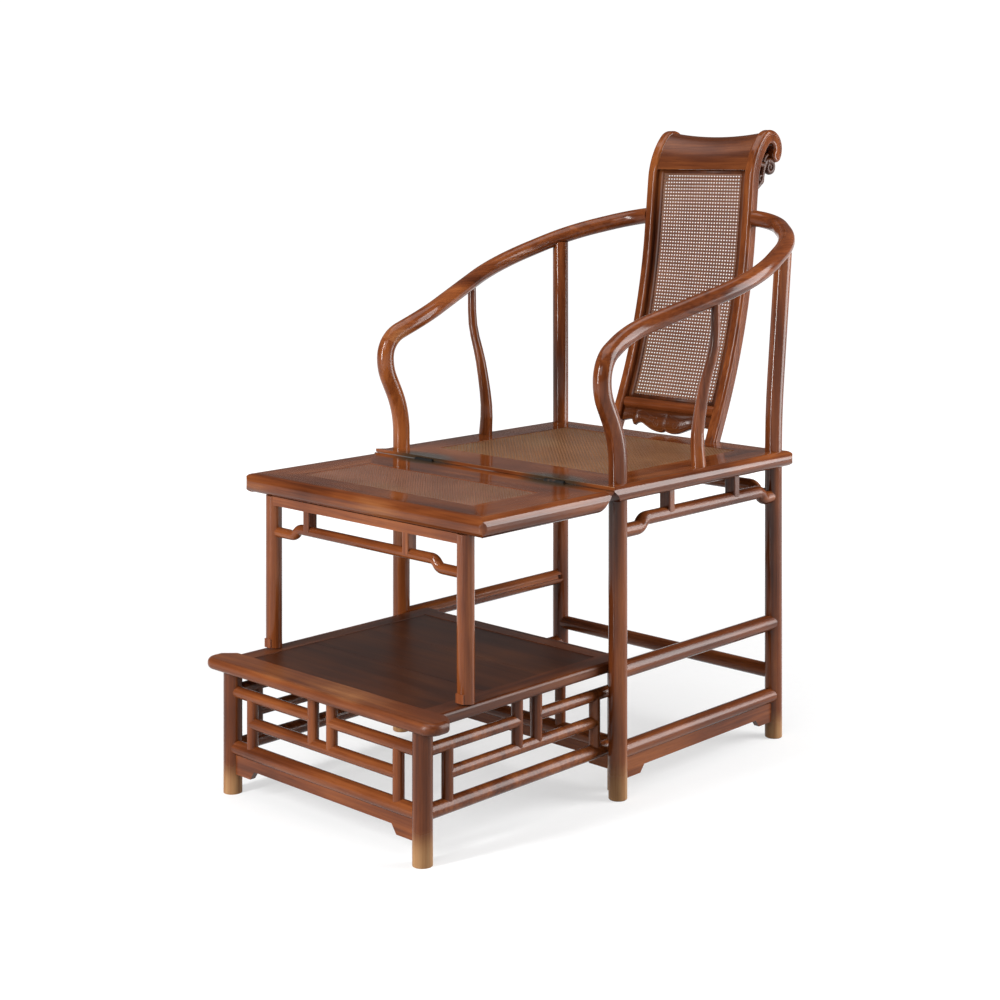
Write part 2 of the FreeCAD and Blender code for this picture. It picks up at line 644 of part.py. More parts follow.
def corner_cutter(label, side, edge_y, inward, bottom, thick):
    """What is cut away to round one outer corner of a frame."""
    past = 1
    reach = float(corner_round)
    height = float(thick) + 2 * past
    centre = V(side * (float(seat_half_width) - reach), float(edge_y) + inward * reach, float(bottom) - past)
    along_x = V(side * (reach + past), 0, 0)
    along_y = V(0, -inward * (reach + past), 0)
    corner = centre + along_x + along_y
    outline = Part.makePolygon([centre, centre + along_x, corner, centre + along_y, centre])
    block = Part.Face(outline).extrude(V(0, 0, height))
    return solid(label, block.cut(Part.makeCylinder(reach, height, centre)))


def cane_space(label, half_width, front, rear, top, play=0, head_room=0):
    """Block for a cane panel, or for the recess that takes it."""
    inset = cane_land - play
    return box(label, (half_width + inset) * 2, rear - front + inset * 2, cane_thick + head_room,
               (-(half_width + inset), front - inset, top - cane_drop - cane_thick))


seat_rear_y = from_front(seat_depth)
seat_rails = mitred_frame("seat_rail", seat_half_width, seat_front_y, seat_rear_y,
                          (front_rail_width, rear_rail_width, side_rail_width), seat_top, seat_thick)
dress_edges(seat_rails["rear"], "Fillet", edge_round, flat_edges("Y", seat_rear_y))

cane_half_width = seat_half_width - side_rail_width
cane_front = seat_front_y + front_rail_width
cane_rear = seat_rear_y - rear_rail_width
cane_place = (cane_half_width, cane_front, cane_rear, seat_top)
hinge_y = seat_front_y - rest_gap / 2
hinge_z = rest_top


def leg_hole(label, x, y):
    return cylinder(label, leg_radius + fit_gap, seat_thick * 2, (x, y, seat_bottom - seat_thick / 2), "z")


def knuckle_space(label):
    """Rounded notches for both hinges in the rails at the joint line."""
    notches = []
    for name, side in SIDES:
        start = hinge_x * side - hinge_length / 2 - knuckle_play
        notches.append(cylinder(label + name, knuckle_radius + knuckle_room,
                                hinge_length + knuckle_play * 2, (start, hinge_y, hinge_z), "x"))
    return notches


seat_groove = groove_wedge("seat_groove", seat_front_y, 1, seat_bottom, seat_bevel)
seat_corners = {}
for name, side in SIDES:
    seat_corners[name] = corner_cutter("seat_corner_" + name, side, seat_rear_y, -1, seat_bottom, seat_thick)
for where in ("front", "rear", "left", "right"):
    tools = [cane_space("seat_recess_" + where, *cane_place, head_room=cane_drop * 2)]
    if where != "rear":
        tools.append(seat_groove)
    if where != "front":
        tools += [cutter for name, cutter in seat_corners.items() if where in (name, "rear")]
    for row, leg_y in (("front", front_leg_y), ("rear", rear_leg_y)):
        for name, side in SIDES:
            if where in (row, name):
                tools.append(leg_hole("hole_%s_%s_%s" % (where, row, name), leg_half_spacing * side, leg_y))
    if where == "front":
        tools += knuckle_space("seat_notch_")
    piece(cut("seat_rail_" + where, seat_rails[where], *tools))

piece(cane_space("seat_cane", *cane_place, play=fit_gap))
batten_z = seat_top - cane_drop - cane_thick - batten_drop - batten_thick
seat_bars = []
for name, where in (("front", batten_front_set), ("rear", batten_rear_set)):
    seat_bars.append(box("seat_bar_" + name, cane_half_width * 2, batten_width, batten_thick,
                         (-cane_half_width, from_front(where) - batten_width / 2, batten_z)))
piece(group("seat_battens", seat_bars))


# Humpback stretchers under the seat, and the short struts that stand on them.
def hump_bar(start, finish, insets, rise, run, bend, radius):
    """Round bar between two legs whose middle is raised by a step at each end."""
    along = (finish - start).normalize()
    up = V(0, 0, float(rise))
    first, last = (float(inset) for inset in insets)
    step = float(run)
    corners = [start, start + along * first, start + along * (first + step) + up,
               finish - along * (last + step) + up, finish - along * last, finish]
    return round_bar(tangent_path(corners, [bend] * 4), radius)


hump_sizes = (hump_rise, hump_run, hump_round, hump_dia / 2)
humps = {}
for name, side in SIDES:
    x = side * float(leg_half_spacing)
    front_end = V(x, float(front_leg_y), float(hump_end_z))
    rear_end = V(x, float(rear_leg_y), float(hump_end_z))
    bar = hump_bar(front_end, rear_end, (hump_front_in, hump_rear_in), *hump_sizes)
    blank = solid("humpback_blank_" + name, bar)
    humps[side] = piece(cut("humpback_" + name, blank, legs["front", side], legs["rear", side]))
ends = [V(side * float(leg_half_spacing), float(rear_leg_y), float(hump_end_z)) for name, side in SIDES]
bar = hump_bar(ends[0], ends[1], (hump_rear_in, hump_rear_in), *hump_sizes)
blank = solid("humpback_blank_rear", bar)
humps[0] = piece(cut("humpback_rear", blank, legs["rear", -1], legs["rear", 1], humps[-1], humps[1]))


def strut(label, across_x, across_y, foot_z, head_z, x, y):
    """Upright strut with eased corners."""
    outline = [(across_x * sx / 2, across_y * sy / 2) for sx, sy in ((-1, -1), (1, -1), (1, 1), (-1, 1))]
    body = padded_outline(label, "XY_Plane", outline, head_z - foot_z, (x, y, foot_z))
    return dress_edges(body, "Fillet", strut_round, upright_edges)


hump_mid_z = hump_end_z + hump_rise
struts = []
for name, side in SIDES:
    for number, where in enumerate((side_strut_front_set, side_strut_rear_set)):
        blank = strut("strut_blank_%s_%d" % (name, number), strut_depth, strut_width,
                      hump_mid_z, seat_bottom, leg_half_spacing * side, from_front(where))
        struts.append(cut("strut_%s_%d" % (name, number), blank, humps[side]))
    blank = strut("strut_blank_rear_" + name, strut_width, strut_depth, hump_mid_z, seat_bottom,
                  rear_strut_x * side, rear_leg_y)
    struts.append(cut("strut_rear_" + name, blank, humps[0]))
piece(group("humpback_struts", struts))


# Straight stretchers between the legs. The upper side ones carry the footstool's guide grooves.
leg_span = rear_leg_set - front_leg_set
groove_z = stool_top - stool_frame_thick / 2
for name, side in SIDES:
    blank = cylinder("side_stretcher_blank_" + name, side_stretcher_dia / 2, leg_span,
                     (leg_half_spacing * side, front_leg_y, side_stretcher_z), "y")
    middle = leg_half_spacing * side - side_stretcher_dia / 2 * side
    groove = box("groove_" + name, groove_depth * 2, leg_span, groove_height,
                 (middle - groove_depth, front_leg_y, groove_z - groove_height / 2))
    piece(cut("side_stretcher_" + name, blank, groove, legs["front", side], legs["rear", side]))

blank = cylinder("rear_stretcher_blank", rear_stretcher_dia / 2, leg_half_spacing * 2,
                 (-leg_half_spacing, rear_leg_y, rear_stretcher_z), "x")
piece(cut("rear_stretcher", blank, legs["rear", -1], legs["rear", 1]))


def stepped_outline(length, end_z, mid_z, top_z, start):
    """Outline of an apron with a lower step at each end."""
    return [
        (start, end_z),
        (start + apron_step, end_z),
        (start + apron_step + apron_slope, mid_z),
        (start + length - apron_step - apron_slope, mid_z),
        (start + length - apron_step, end_z),
        (start + length, end_z),
        (start + length, top_z),
        (start, top_z),
    ]


low_bars = []
low_aprons = []
for name, side in SIDES:
    bar = cylinder("low_stretcher_blank_" + name, low_stretcher_dia / 2, leg_span,
                   (leg_half_spacing * side, front_leg_y, low_stretcher_z), "y")
    low_bars.append(cut("low_stretcher_" + name, bar, legs["front", side], legs["rear", side]))
    outline = stepped_outline(leg_span, apron_end_z, apron_mid_z, low_stretcher_z, front_leg_y)
    plate = padded_outline("low_apron_blank_" + name, "YZ_Plane", outline, apron_thick,
                           (leg_half_spacing * side - apron_thick / 2, 0, 0))
    low_aprons.append(cut("low_apron_" + name, plate, bar, legs["front", side], legs["rear", side]))
piece(group("lower_stretchers", low_bars))
piece(group("lower_aprons", low_aprons))


# Back: S-curved stiles that end in scrolls, with headrest board, cane, lower rail and apron between.
def back_point(y, z):
    return V(0, float(from_front(y)), float(z))


back_foot = back_point(back_foot_y, seat_top)
back_knee = back_point(back_knee_y, back_knee_z)
back_neck = back_point(back_neck_y, back_neck_z)
scroll_start = back_point(scroll_start_y, scroll_start_z)
scroll_rise = (scroll_start - back_neck).normalize()
below_seat = back_foot + (back_foot - back_knee).normalize() * float(stile_depth)
rise = tangent_path([below_seat, back_knee, back_neck, scroll_start], [back_knee_round, back_neck_round])


def scroll_arc(start):
    """Centre line of the scroll, over and down behind, from a start on the line of the neck."""
    backward = V(0, scroll_rise.z, -scroll_rise.y)
    centre = start + backward * float(scroll_radius)

    def on_scroll(share):
        turn = math.radians(float(scroll_turn) * share)
        return centre + (scroll_rise * math.sin(turn) - backward * math.cos(turn)) * float(scroll_radius)

    return Part.Arc(on_scroll(0), on_scroll(0.5), on_scroll(1)).toShape()


def band(edges, thick):
    """Closed outline at half a thickness to either side of a line in the YZ plane."""
    return Part.Wire(edges).makeOffset2D(float(thick) / 2, 0, False, False)


def rising_edges(shape):
    """Edges of a stile that run up its sides, without those at its foot."""
    return [edge for edge in shape.Edges if edge.BoundBox.XLength < 0.01 < edge.BoundBox.ZLength]


scroll = scroll_arc(scroll_start)
above_seat = half_space(V(0, 0, float(seat_top)), V(0, 0, 1))
stile_inner = back_half_width - stile_width
stiles = {}
for name, side in SIDES:
    low_x = float(stile_inner) if side > 0 else -float(back_half_width)
    outline = band(rise.Edges + [scroll], stile_depth)
    outline.translate(V(low_x, 0, 0))
    stile = Part.Face(outline).extrude(V(float(stile_width), 0, 0)).common(above_seat)
    stile = stile.makeFillet(float(stile_round), rising_edges(stile))
    stiles[side] = piece(solid("back_stile_" + name, stile))

# The headrest board is its middle profile turned about an axis high above, so that the crest dips.
above_board_foot = half_space(V(0, 0, float(board_foot_z)), V(0, 0, 1))
drop = (back_neck - back_knee).normalize() * float(crest_dip)
board_line = tangent_path([back_knee, back_neck - drop, scroll_start - drop], [back_neck_round])
profile = Part.Face(band(board_line.Edges + [scroll_arc(scroll_start - drop)], board_thick))
half_board = float(stile_inner)
dip = float(crest_dip)
crest_round = (half_board * half_board + dip * dip) / (2 * dip)
pivot = V(0, 0, profile.BoundBox.ZMax + crest_round)
trim_spare = 1.3
spread = 2 * trim_spare * math.degrees(math.asin(half_board / crest_round))
profile.rotate(pivot, V(0, 1, 0), -spread / 2)
board = profile.revolve(pivot, V(0, 1, 0), spread)
for name, side in SIDES:
    board = board.common(half_space(V(side * half_board, 0, 0), V(-side, 0, 0)))
piece(solid("headrest_board", board.common(above_board_foot)))

back_slope = (back_knee_y - back_foot_y) / (back_knee_z - seat_top)
back_rail_y = from_front(back_foot_y) + (back_rail_z - seat_top) * back_slope
lower_rail = piece(cylinder("back_lower_rail", back_rail_dia / 2, stile_inner * 2,
                            (-stile_inner, back_rail_y, back_rail_z), "x"))

outline = band(rise.Edges, back_cane_thick)
outline.translate(V(-float(stile_inner), 0, 0))
sheet_shape = Part.Face(outline).extrude(V(2 * float(stile_inner), 0, 0))
above_rail = half_space(V(0, 0, float(back_rail_z)), V(0, 0, 1))
cane_blank = solid("back_cane_blank", sheet_shape.common(above_rail).cut(above_board_foot))
piece(cut("back_cane", cane_blank, lower_rail))

lean = math.degrees(math.atan(float(back_slope)))
upright_share = math.cos(math.radians(lean))


def apron_corner(x, z):
    """Corner of the leaning back apron: across, and up along the lean from the rail."""
    return (x, (z - back_rail_z) / upright_share)


right_half = [
    apron_corner(stile_inner, back_rail_z),
    apron_corner(stile_inner, back_apron_end_z),
    apron_corner(back_apron_cusp + back_apron_cusp_drop, back_apron_end_z),
    apron_corner(back_apron_cusp, back_apron_end_z - back_apron_cusp_drop),
    apron_corner(back_apron_cusp - back_apron_cusp_drop, back_apron_end_z),
    apron_corner(back_apron_lobe, back_apron_mid_z + back_apron_lobe_rise),
    apron_corner(back_apron_lobe / 2, back_apron_mid_z),
]
left_half = [(-x, z) for x, z in reversed(right_half)]
apron = padded_outline("back_apron_blank", "XZ_Plane", left_half + right_half, back_apron_thick, (0, 0, 0))
apron.Placement = FreeCAD.Placement(V(0, 0, 0), FreeCAD.Rotation(V(1, 0, 0), -lean))
place(apron, (0, back_rail_y + back_apron_thick / 2, back_rail_z))
piece(cut("back_apron", apron, lower_rail))

bracket_root_y = from_front(back_neck_y)
bracket_face_y = bracket_root_y + stile_depth / 2
bracket_tip_y = bracket_face_y + bracket_reach
bracket_knob_z = bracket_arm_z + bracket_arm_height / 2
bracket_outline = [
    (bracket_root_y, bracket_foot_z),
    (bracket_face_y + bracket_foot_width / 2, bracket_foot_z),
    (bracket_face_y + bracket_foot_width, (bracket_foot_z + bracket_arm_z) / 2),
    (bracket_tip_y - bracket_arm_height, bracket_arm_z),
    (bracket_tip_y, bracket_knob_z),
    (bracket_tip_y - bracket_arm_height / 2, bracket_arm_z + bracket_arm_height),
    (bracket_face_y + bracket_foot_width, bracket_knob_z),
    (bracket_root_y, bracket_arm_z + bracket_arm_height),
]
bracket_edge = Part.BSplineCurve()
bracket_edge.interpolate([V(0, float(y), float(z)) for y, z in bracket_outline], PeriodicFlag=True)
behind_stile = half_space(V(0, float(bracket_root_y), 0), V(0, 1, 0))
bracket_face = Part.Face(Part.Wire([bracket_edge.toShape()])).common(behind_stile)
brackets = []
for name, side in SIDES:
    near_x = float((stile_inner + stile_width / 2) * side - bracket_thick / 2)
    plate = bracket_face.translated(V(near_x, 0, 0)).extrude(V(float(bracket_thick), 0, 0))
    blank = solid("bracket_blank_" + name, plate)
    brackets.append(cut("bracket_" + name, blank, stiles[side]))
piece(group("scroll_brackets", brackets))


# Leg rest: a second mitred frame with cane, hinged to the front of the seat.
rest_front_y = seat_front_y - rest_length
rest_rear_y = seat_front_y - rest_gap
rest_bottom = rest_top - rest_thick
rest_rails = mitred_frame("leg_rest_rail", seat_half_width, rest_front_y, rest_rear_y,
                          (rest_front_width, rest_rear_width, rest_side_width), rest_top, rest_thick)
dress_edges(rest_rails["front"], "Fillet", edge_round, flat_edges("Y", rest_front_y))
rest_half_width = seat_half_width - rest_side_width
rest_cane_front = rest_front_y + rest_front_width
rest_cane_rear = rest_rear_y - rest_rear_width
rest_cane_place = (rest_half_width, rest_cane_front, rest_cane_rear, rest_top)
rest_groove = groove_wedge("rest_groove", rest_rear_y, -1, rest_bottom, rest_bevel)
rest_corners = {}
for name, side in SIDES:
    rest_corners[name] = corner_cutter("rest_corner_" + name, side, rest_front_y, 1, rest_bottom, rest_thick)
for where in ("front", "rear", "left", "right"):
    tools = [cane_space("rest_recess_" + where, *rest_cane_place, head_room=cane_drop * 2)]
    if where != "front":
        tools.append(rest_groove)
    if where != "rear":
        tools += [cutter for name, cutter in rest_corners.items() if where in (name, "front")]
    if where == "rear":
        tools += knuckle_space("rest_notch_")
    piece(cut("leg_rest_rail_" + where, rest_rails[where], *tools))
piece(cane_space("leg_rest_cane", *rest_cane_place, play=fit_gap))
rest_bar_y = (rest_cane_front + rest_cane_rear) / 2 - batten_width / 2
piece(box("leg_rest_batten", rest_half_width * 2, batten_width, batten_thick,
          (-rest_half_width, rest_bar_y, rest_top - cane_drop - cane_thick - batten_drop - batten_thick)))


# Hinges: each has one leaf with a middle knuckle, one with two outer knuckles, and a pin.
def hinge_leaf(label, spans, knuckle, length, plate_offset, reach, turn, at):
    """Leaf whose pin lies along X: plate, necks to its own knuckles, and the pin's hole."""
    thick = float(leaf_thick)
    start = float(leaf_start)
    half = float(length) / 2
    shape = Part.makeBox(2 * half, float(reach) - start, thick, V(-half, start, plate_offset))
    for low, high in spans:
        barrel = Part.makeCylinder(float(knuckle), high - low, V(low, 0, 0), V(1, 0, 0))
        neck = Part.makeBox(high - low, start, thick, V(low, 0, plate_offset))
        shape = shape.fuse([barrel, neck])
    hole = Part.makeCylinder(float(hinge_pin_radius + pin_play), 4 * half, V(-2 * half, 0, 0), V(1, 0, 0))
    leaf = solid(label, shape.cut(hole).removeSplitter())
    spot = V(*[float(value) for value in at])
    leaf.Placement = FreeCAD.Placement(spot, FreeCAD.Rotation(V(1, 0, 0), turn))
    return leaf


def knuckle_spans(length):
    """Middle knuckle, and the two outer ones with play between."""
    half = float(length) / 2
    third = half / 3
    play = float(knuckle_play)
    return [(-third, third)], [(-half, -third - play), (third + play, half)]


half_gap = float(rest_gap) / 2
bevel_turn = 45
seat_plate = (half_gap + float(seat_top - seat_thick + seat_bevel - rest_top)) / math.sqrt(2)
rest_plate = (float(rest_thick - rest_bevel) - half_gap) / math.sqrt(2)
middle_spans, outer_spans = knuckle_spans(hinge_length)
seat_leaves = []
rest_leaves = []
seat_pins = []
for name, side in SIDES:
    at = (hinge_x * side, hinge_y, hinge_z)
    seat_leaves.append(hinge_leaf("seat_leaf_" + name, middle_spans, knuckle_radius, hinge_length,
                                  seat_plate - float(leaf_thick), leaf_reach, -bevel_turn, at))
    rest_leaves.append(hinge_leaf("rest_leaf_" + name, outer_spans, knuckle_radius, hinge_length,
                                  rest_plate, leaf_reach, bevel_turn - 180, at))
    seat_pins.append(cylinder("seat_pin_" + name, hinge_pin_radius, hinge_length,
                              (hinge_x * side - hinge_length / 2, hinge_y, hinge_z), "x"))
piece(group("seat_hinge_leaves", seat_leaves))
piece(group("seat_hinge_pins", seat_pins))
piece(group("rest_hinge_leaves", rest_leaves))


# Folding leg frame that carries the front of the leg rest on top of the footstool.
frame_leg_y = seat_front_y - frame_leg_set
frame_pin_y = frame_leg_y + frame_rail_depth / 2 + frame_pin_back
frame_pin_z = rest_bottom - frame_pin_drop
middle_spans, outer_spans = knuckle_spans(frame_hinge_length)
plates = []
leaves = []
pins = []
for name, side in SIDES:
    at = (frame_hinge_x * side, frame_pin_y, frame_pin_z)
    plates.append(hinge_leaf("frame_plate_" + name, middle_spans, frame_knuckle_radius, frame_hinge_length,
                             float(frame_pin_drop - leaf_thick), frame_leaf_reach, 0, at))
    leaves.append(hinge_leaf("frame_leaf_" + name, outer_spans, frame_knuckle_radius, frame_hinge_length,
                             -float(frame_pin_back), frame_leaf_reach, -90, at))
    pins.append(cylinder("frame_pin_" + name, hinge_pin_radius, frame_hinge_length,
                         (frame_hinge_x * side - frame_hinge_length / 2, frame_pin_y, frame_pin_z), "x"))
piece(group("frame_hinge_plates", plates))
piece(group("frame_hinge_leaves", leaves))
piece(group("frame_hinge_pins", pins))

frame_leg_radius = frame_leg_dia / 2
sole_z = stool_top + foot_lift
frame_head_z = rest_bottom - frame_head_gap
frame_legs = {}
blocks = []
for name, side in SIDES:
    x = frame_leg_x * side
    blank = cylinder("frame_leg_blank_" + name, frame_leg_radius, frame_head_z - sole_z,
                     (x, frame_leg_y, sole_z), "z")
    sole_rear = frame_leg_y + frame_leg_radius + 1
    sole_front = frame_leg_y - frame_leg_radius - 1
    sole = [
        (sole_rear, sole_z),
        (sole_front, sole_z + foot_swing_room),
        (sole_front, sole_z - 1),
        (sole_rear, sole_z - 1),
    ]
    wedge = padded_outline("sole_slope_" + name, "YZ_Plane", sole, frame_leg_dia * 2,
                           (x - frame_leg_dia, 0, 0))
    block_front_y = frame_leg_y - frame_leg_radius - foot_block_proud
    block = box("foot_block_" + name, foot_block_width, foot_block_depth, foot_block_height,
                (x - foot_block_width / 2, block_front_y, sole_z + foot_swing_room))
    blocks.append(block)
    frame_legs[side] = piece(cut("frame_leg_" + name, blank, wedge, block))
piece(group("foot_blocks", blocks))

frame_rail_z = frame_head_z - frame_rail_height
blank = box("frame_top_rail_blank", frame_leg_x * 2, frame_rail_depth, frame_rail_height,
            (-frame_leg_x, frame_leg_y - frame_rail_depth / 2, frame_rail_z))
piece(cut("frame_top_rail", blank, frame_legs[-1], frame_legs[1]))
ends = [V(side * float(frame_leg_x), float(frame_leg_y), float(frame_hump_z)) for name, side in SIDES]
frame_hump_bar = hump_bar(ends[0], ends[1], (frame_hump_in, frame_hump_in), frame_hump_rise,
                          frame_hump_run, frame_hump_round, frame_hump_dia / 2)
blank = solid("frame_humpback_blank", frame_hump_bar)
frame_hump = piece(cut("frame_humpback", blank, frame_legs[-1], frame_legs[1]))
struts = []
for name, x in (("left", frame_strut_left_set - frame_leg_x), ("right", frame_leg_x - frame_strut_right_set)):
    blank = strut("frame_strut_blank_" + name, frame_strut_width, frame_rail_depth,
                  frame_hump_z + frame_hump_rise, frame_rail_z, x, frame_leg_y)
    struts.append(cut("frame_strut_" + name, blank, frame_hump))
piece(group("frame_struts", struts))


# Footstool: framed top with ears, four legs, a lattice on each side, and tongues that guide it.
stool_front_y = seat_front_y - stool_front_set
stool_rear_y = from_front(stool_rear_set)
front_joint_y = stool_front_y + stool_front_width
stool_inner = stool_half_width - stool_rail_width
outline = [
    (-stool_ear, stool_front_y),
    (stool_ear, stool_front_y),
    (stool_ear, front_joint_y - stool_ear_bevel),
    (stool_ear - stool_ear_bevel, front_joint_y),
    (stool_ear_bevel - stool_ear, front_joint_y),
    (-stool_ear, front_joint_y - stool_ear_bevel),
]
front_rail = padded_outline("stool_front_rail", "XY_Plane", outline, stool_front_thick,
                            (0, 0, stool_top - stool_front_thick))
dress_edges(front_rail, "Fillet", stool_ear_round,
            lambda edge: upright_edges(edge) and edge.BoundBox.YMax < float(stool_front_y) + 1)
rim_places = [edge.CenterOfMass for edge in front_rail.Tip.Shape.Edges
              if edge.BoundBox.ZLength < 0.01 and edge.BoundBox.YMin < float(front_joint_y) - 1]
dress_edges(front_rail, "Fillet", stool_nose_round,
            lambda edge: any((edge.CenterOfMass - spot).Length < 0.01 for spot in rim_places))
piece(front_rail)

rail_z = stool_top - stool_frame_thick
side_rails = []
for name, side in SIDES:
    outer = stool_half_width * side
    inner = stool_inner * side
    outline = [(outer, front_joint_y), (outer, stool_rear_y), (inner, stool_rear_y), (inner, front_joint_y)]
    rail = padded_outline("stool_side_rail_" + name, "XY_Plane", outline, stool_frame_thick, (0, 0, rail_z))
    side_rails.append(dress_edges(rail, "Fillet", stool_edge_round, flat_edges("X", outer)))
piece(group("stool_side_rails", side_rails))
outline = [(-stool_inner, stool_rear_y - stool_rail_width), (stool_inner, stool_rear_y - stool_rail_width),
           (stool_inner, stool_rear_y), (-stool_inner, stool_rear_y)]
rear_rail = padded_outline("stool_rear_rail", "XY_Plane", outline, stool_frame_thick, (0, 0, rail_z))
piece(dress_edges(rear_rail, "Fillet", stool_edge_round, flat_edges("Y", stool_rear_y)))

boards_depth = stool_rear_y - stool_rail_width - front_joint_y
board_width = boards_depth / board_count
boards = []
board_z = stool_top - board_drop - board_height
for number in range(int(float(board_count))):
    board_y = front_joint_y + board_width * number + board_seam / 2
    boards.append(box("stool_board_%d" % number, stool_inner * 2, board_width - board_seam, board_height,
                      (-stool_inner, board_y, board_z)))
piece(group("stool_boards", boards))

stool_leg_front_y = seat_front_y - stool_leg_front_set
stool_leg_rear_y = from_front(stool_leg_rear_set)
stool_legs = []
for row, y, width, head_z in (("front", stool_leg_front_y, stool_leg_dia, stool_top - stool_front_thick),
                              ("rear", stool_leg_rear_y, stool_rear_leg_dia, rail_z)):
    for name, side in SIDES:
        stool_legs.append(cylinder("stool_leg_%s_%s" % (row, name), width / 2, head_z,
                                   (stool_leg_x * side, y, 0), "z"))
all_stool_legs = piece(group("stool_legs", stool_legs))


def lattice(label, along, low_end, high_end, line, head_z, shift=0):
    """Raw bars of one lattice side that runs along an axis, at a line across it."""
    middle = (low_end + high_end) / 2
    half_span = (high_end - low_end) / 2
    short_offset = half_span - short_strut_set

    def spot(offset, z):
        return (middle + offset, line, z) if along == "x" else (line, middle + offset, z)

    bars = {"upper": [], "short": [], "centre": []}
    for mark, sign in SIDES:
        name = "%s_%s" % (label, mark)
        centre = centre_strut_set * sign + shift
        near = -half_span if sign < 0 else centre
        upper_length = half_span + centre if sign < 0 else half_span - centre
        bars["upper"].append(cylinder("upper_" + name, lattice_dia / 2, upper_length,
                                      spot(near, lattice_top_z), along))
        bars["short"].append(cylinder("short_" + name, lattice_strut_dia / 2, lattice_top_z - lattice_low_z,
                                      spot(short_offset * sign, lattice_low_z), "z"))
        bars["centre"].append(cylinder("centre_" + name, lattice_strut_dia / 2, head_z - lattice_mid_z,
                                       spot(centre, lattice_mid_z), "z"))
    bars["mid"] = [cylinder("mid_" + label, lattice_dia / 2, short_offset * 2,
                            spot(-short_offset, lattice_mid_z), along)]
    bars["low"] = [cylinder("low_" + label, lattice_low_dia / 2, half_span * 2,
                            spot(-half_span, lattice_low_z), along)]
    return bars


lattice_sides = [
    lattice("front", "x", -stool_leg_x, stool_leg_x, stool_leg_front_y, stool_top - stool_front_thick),
    lattice("left", "y", stool_leg_front_y, stool_leg_rear_y, -stool_leg_x, rail_z, side_strut_shift),
    lattice("right", "y", stool_leg_front_y, stool_leg_rear_y, stool_leg_x, rail_z, side_strut_shift),
]
bars = {}
for kind in ("upper", "mid", "low", "short", "centre"):
    bars[kind] = [bar for lattice_side in lattice_sides for bar in lattice_side[kind]]

# The rear has only a bottom rail, and struts from it to the top.
bars["low"].append(cylinder("low_rear", lattice_low_dia / 2, stool_leg_x * 2,
                            (-stool_leg_x, stool_leg_rear_y, lattice_low_z), "x"))
for name, side in SIDES:
    for place_name, x in (("inner", rear_strut_inner_x), ("outer", rear_strut_outer_x)):
        foot = (x * side, stool_leg_rear_y, lattice_low_z)
        bars["short"].append(cylinder("rear_strut_%s_%s" % (place_name, name), lattice_strut_dia / 2,
                                      rail_z - lattice_low_z, foot, "z"))

raw = {kind: group("raw_" + kind, members) for kind, members in bars.items()}
upper_rails = cut("upper_rails", raw["upper"], raw["centre"], all_stool_legs)
mid_rails = cut("mid_rails", raw["mid"], raw["short"])
piece(group("stool_lattice_rails", [upper_rails, mid_rails]))
short_struts = cut("short_struts", raw["short"], raw["upper"], raw["low"])
centre_struts = cut("centre_struts", raw["centre"], raw["mid"])
piece(group("stool_struts", [short_struts, centre_struts]))
piece(cut("stool_bottom_rails", raw["low"], all_stool_legs))

aprons = []
for row, y in (("front", stool_leg_front_y), ("rear", stool_leg_rear_y)):
    outline = stepped_outline(stool_leg_x * 2, stool_apron_end_z, stool_apron_mid_z, lattice_low_z,
                              -stool_leg_x)
    plate = padded_outline("stool_apron_blank_" + row, "XZ_Plane", outline, apron_thick,
                           (0, y + apron_thick / 2, 0))
    aprons.append(cut("stool_apron_" + row, plate, raw["low"], all_stool_legs))
piece(group("stool_aprons", aprons))

tongue_end = leg_half_spacing - side_stretcher_dia / 2 + groove_depth - tongue_play
tongues = []
for name, side in SIDES:
    low_x = stool_half_width if side > 0 else -tongue_end
    tongues.append(box("guide_tongue_" + name, tongue_end - stool_half_width, tongue_length, tongue_height,
                       (low_x, front_leg_y + leg_radius + stop_gap, groove_z - tongue_height / 2)))
piece(group("stool_guide_tongues", tongues))

doc.recompute()

for obj in doc.Objects:
    if "Invalid" in obj.State or "Error" in obj.State:
        raise RuntimeError("cannot build " + obj.Label)
os.makedirs("parts", exist_ok=True)
for obj in pieces:
    if obj.Shape.isNull() or not obj.Shape.isValid() or obj.Shape.Volume < 1:
        raise RuntimeError("bad shape in " + obj.Label)
    obj.Shape.exportStep("parts/%s.step" % obj.Label)
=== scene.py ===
import math

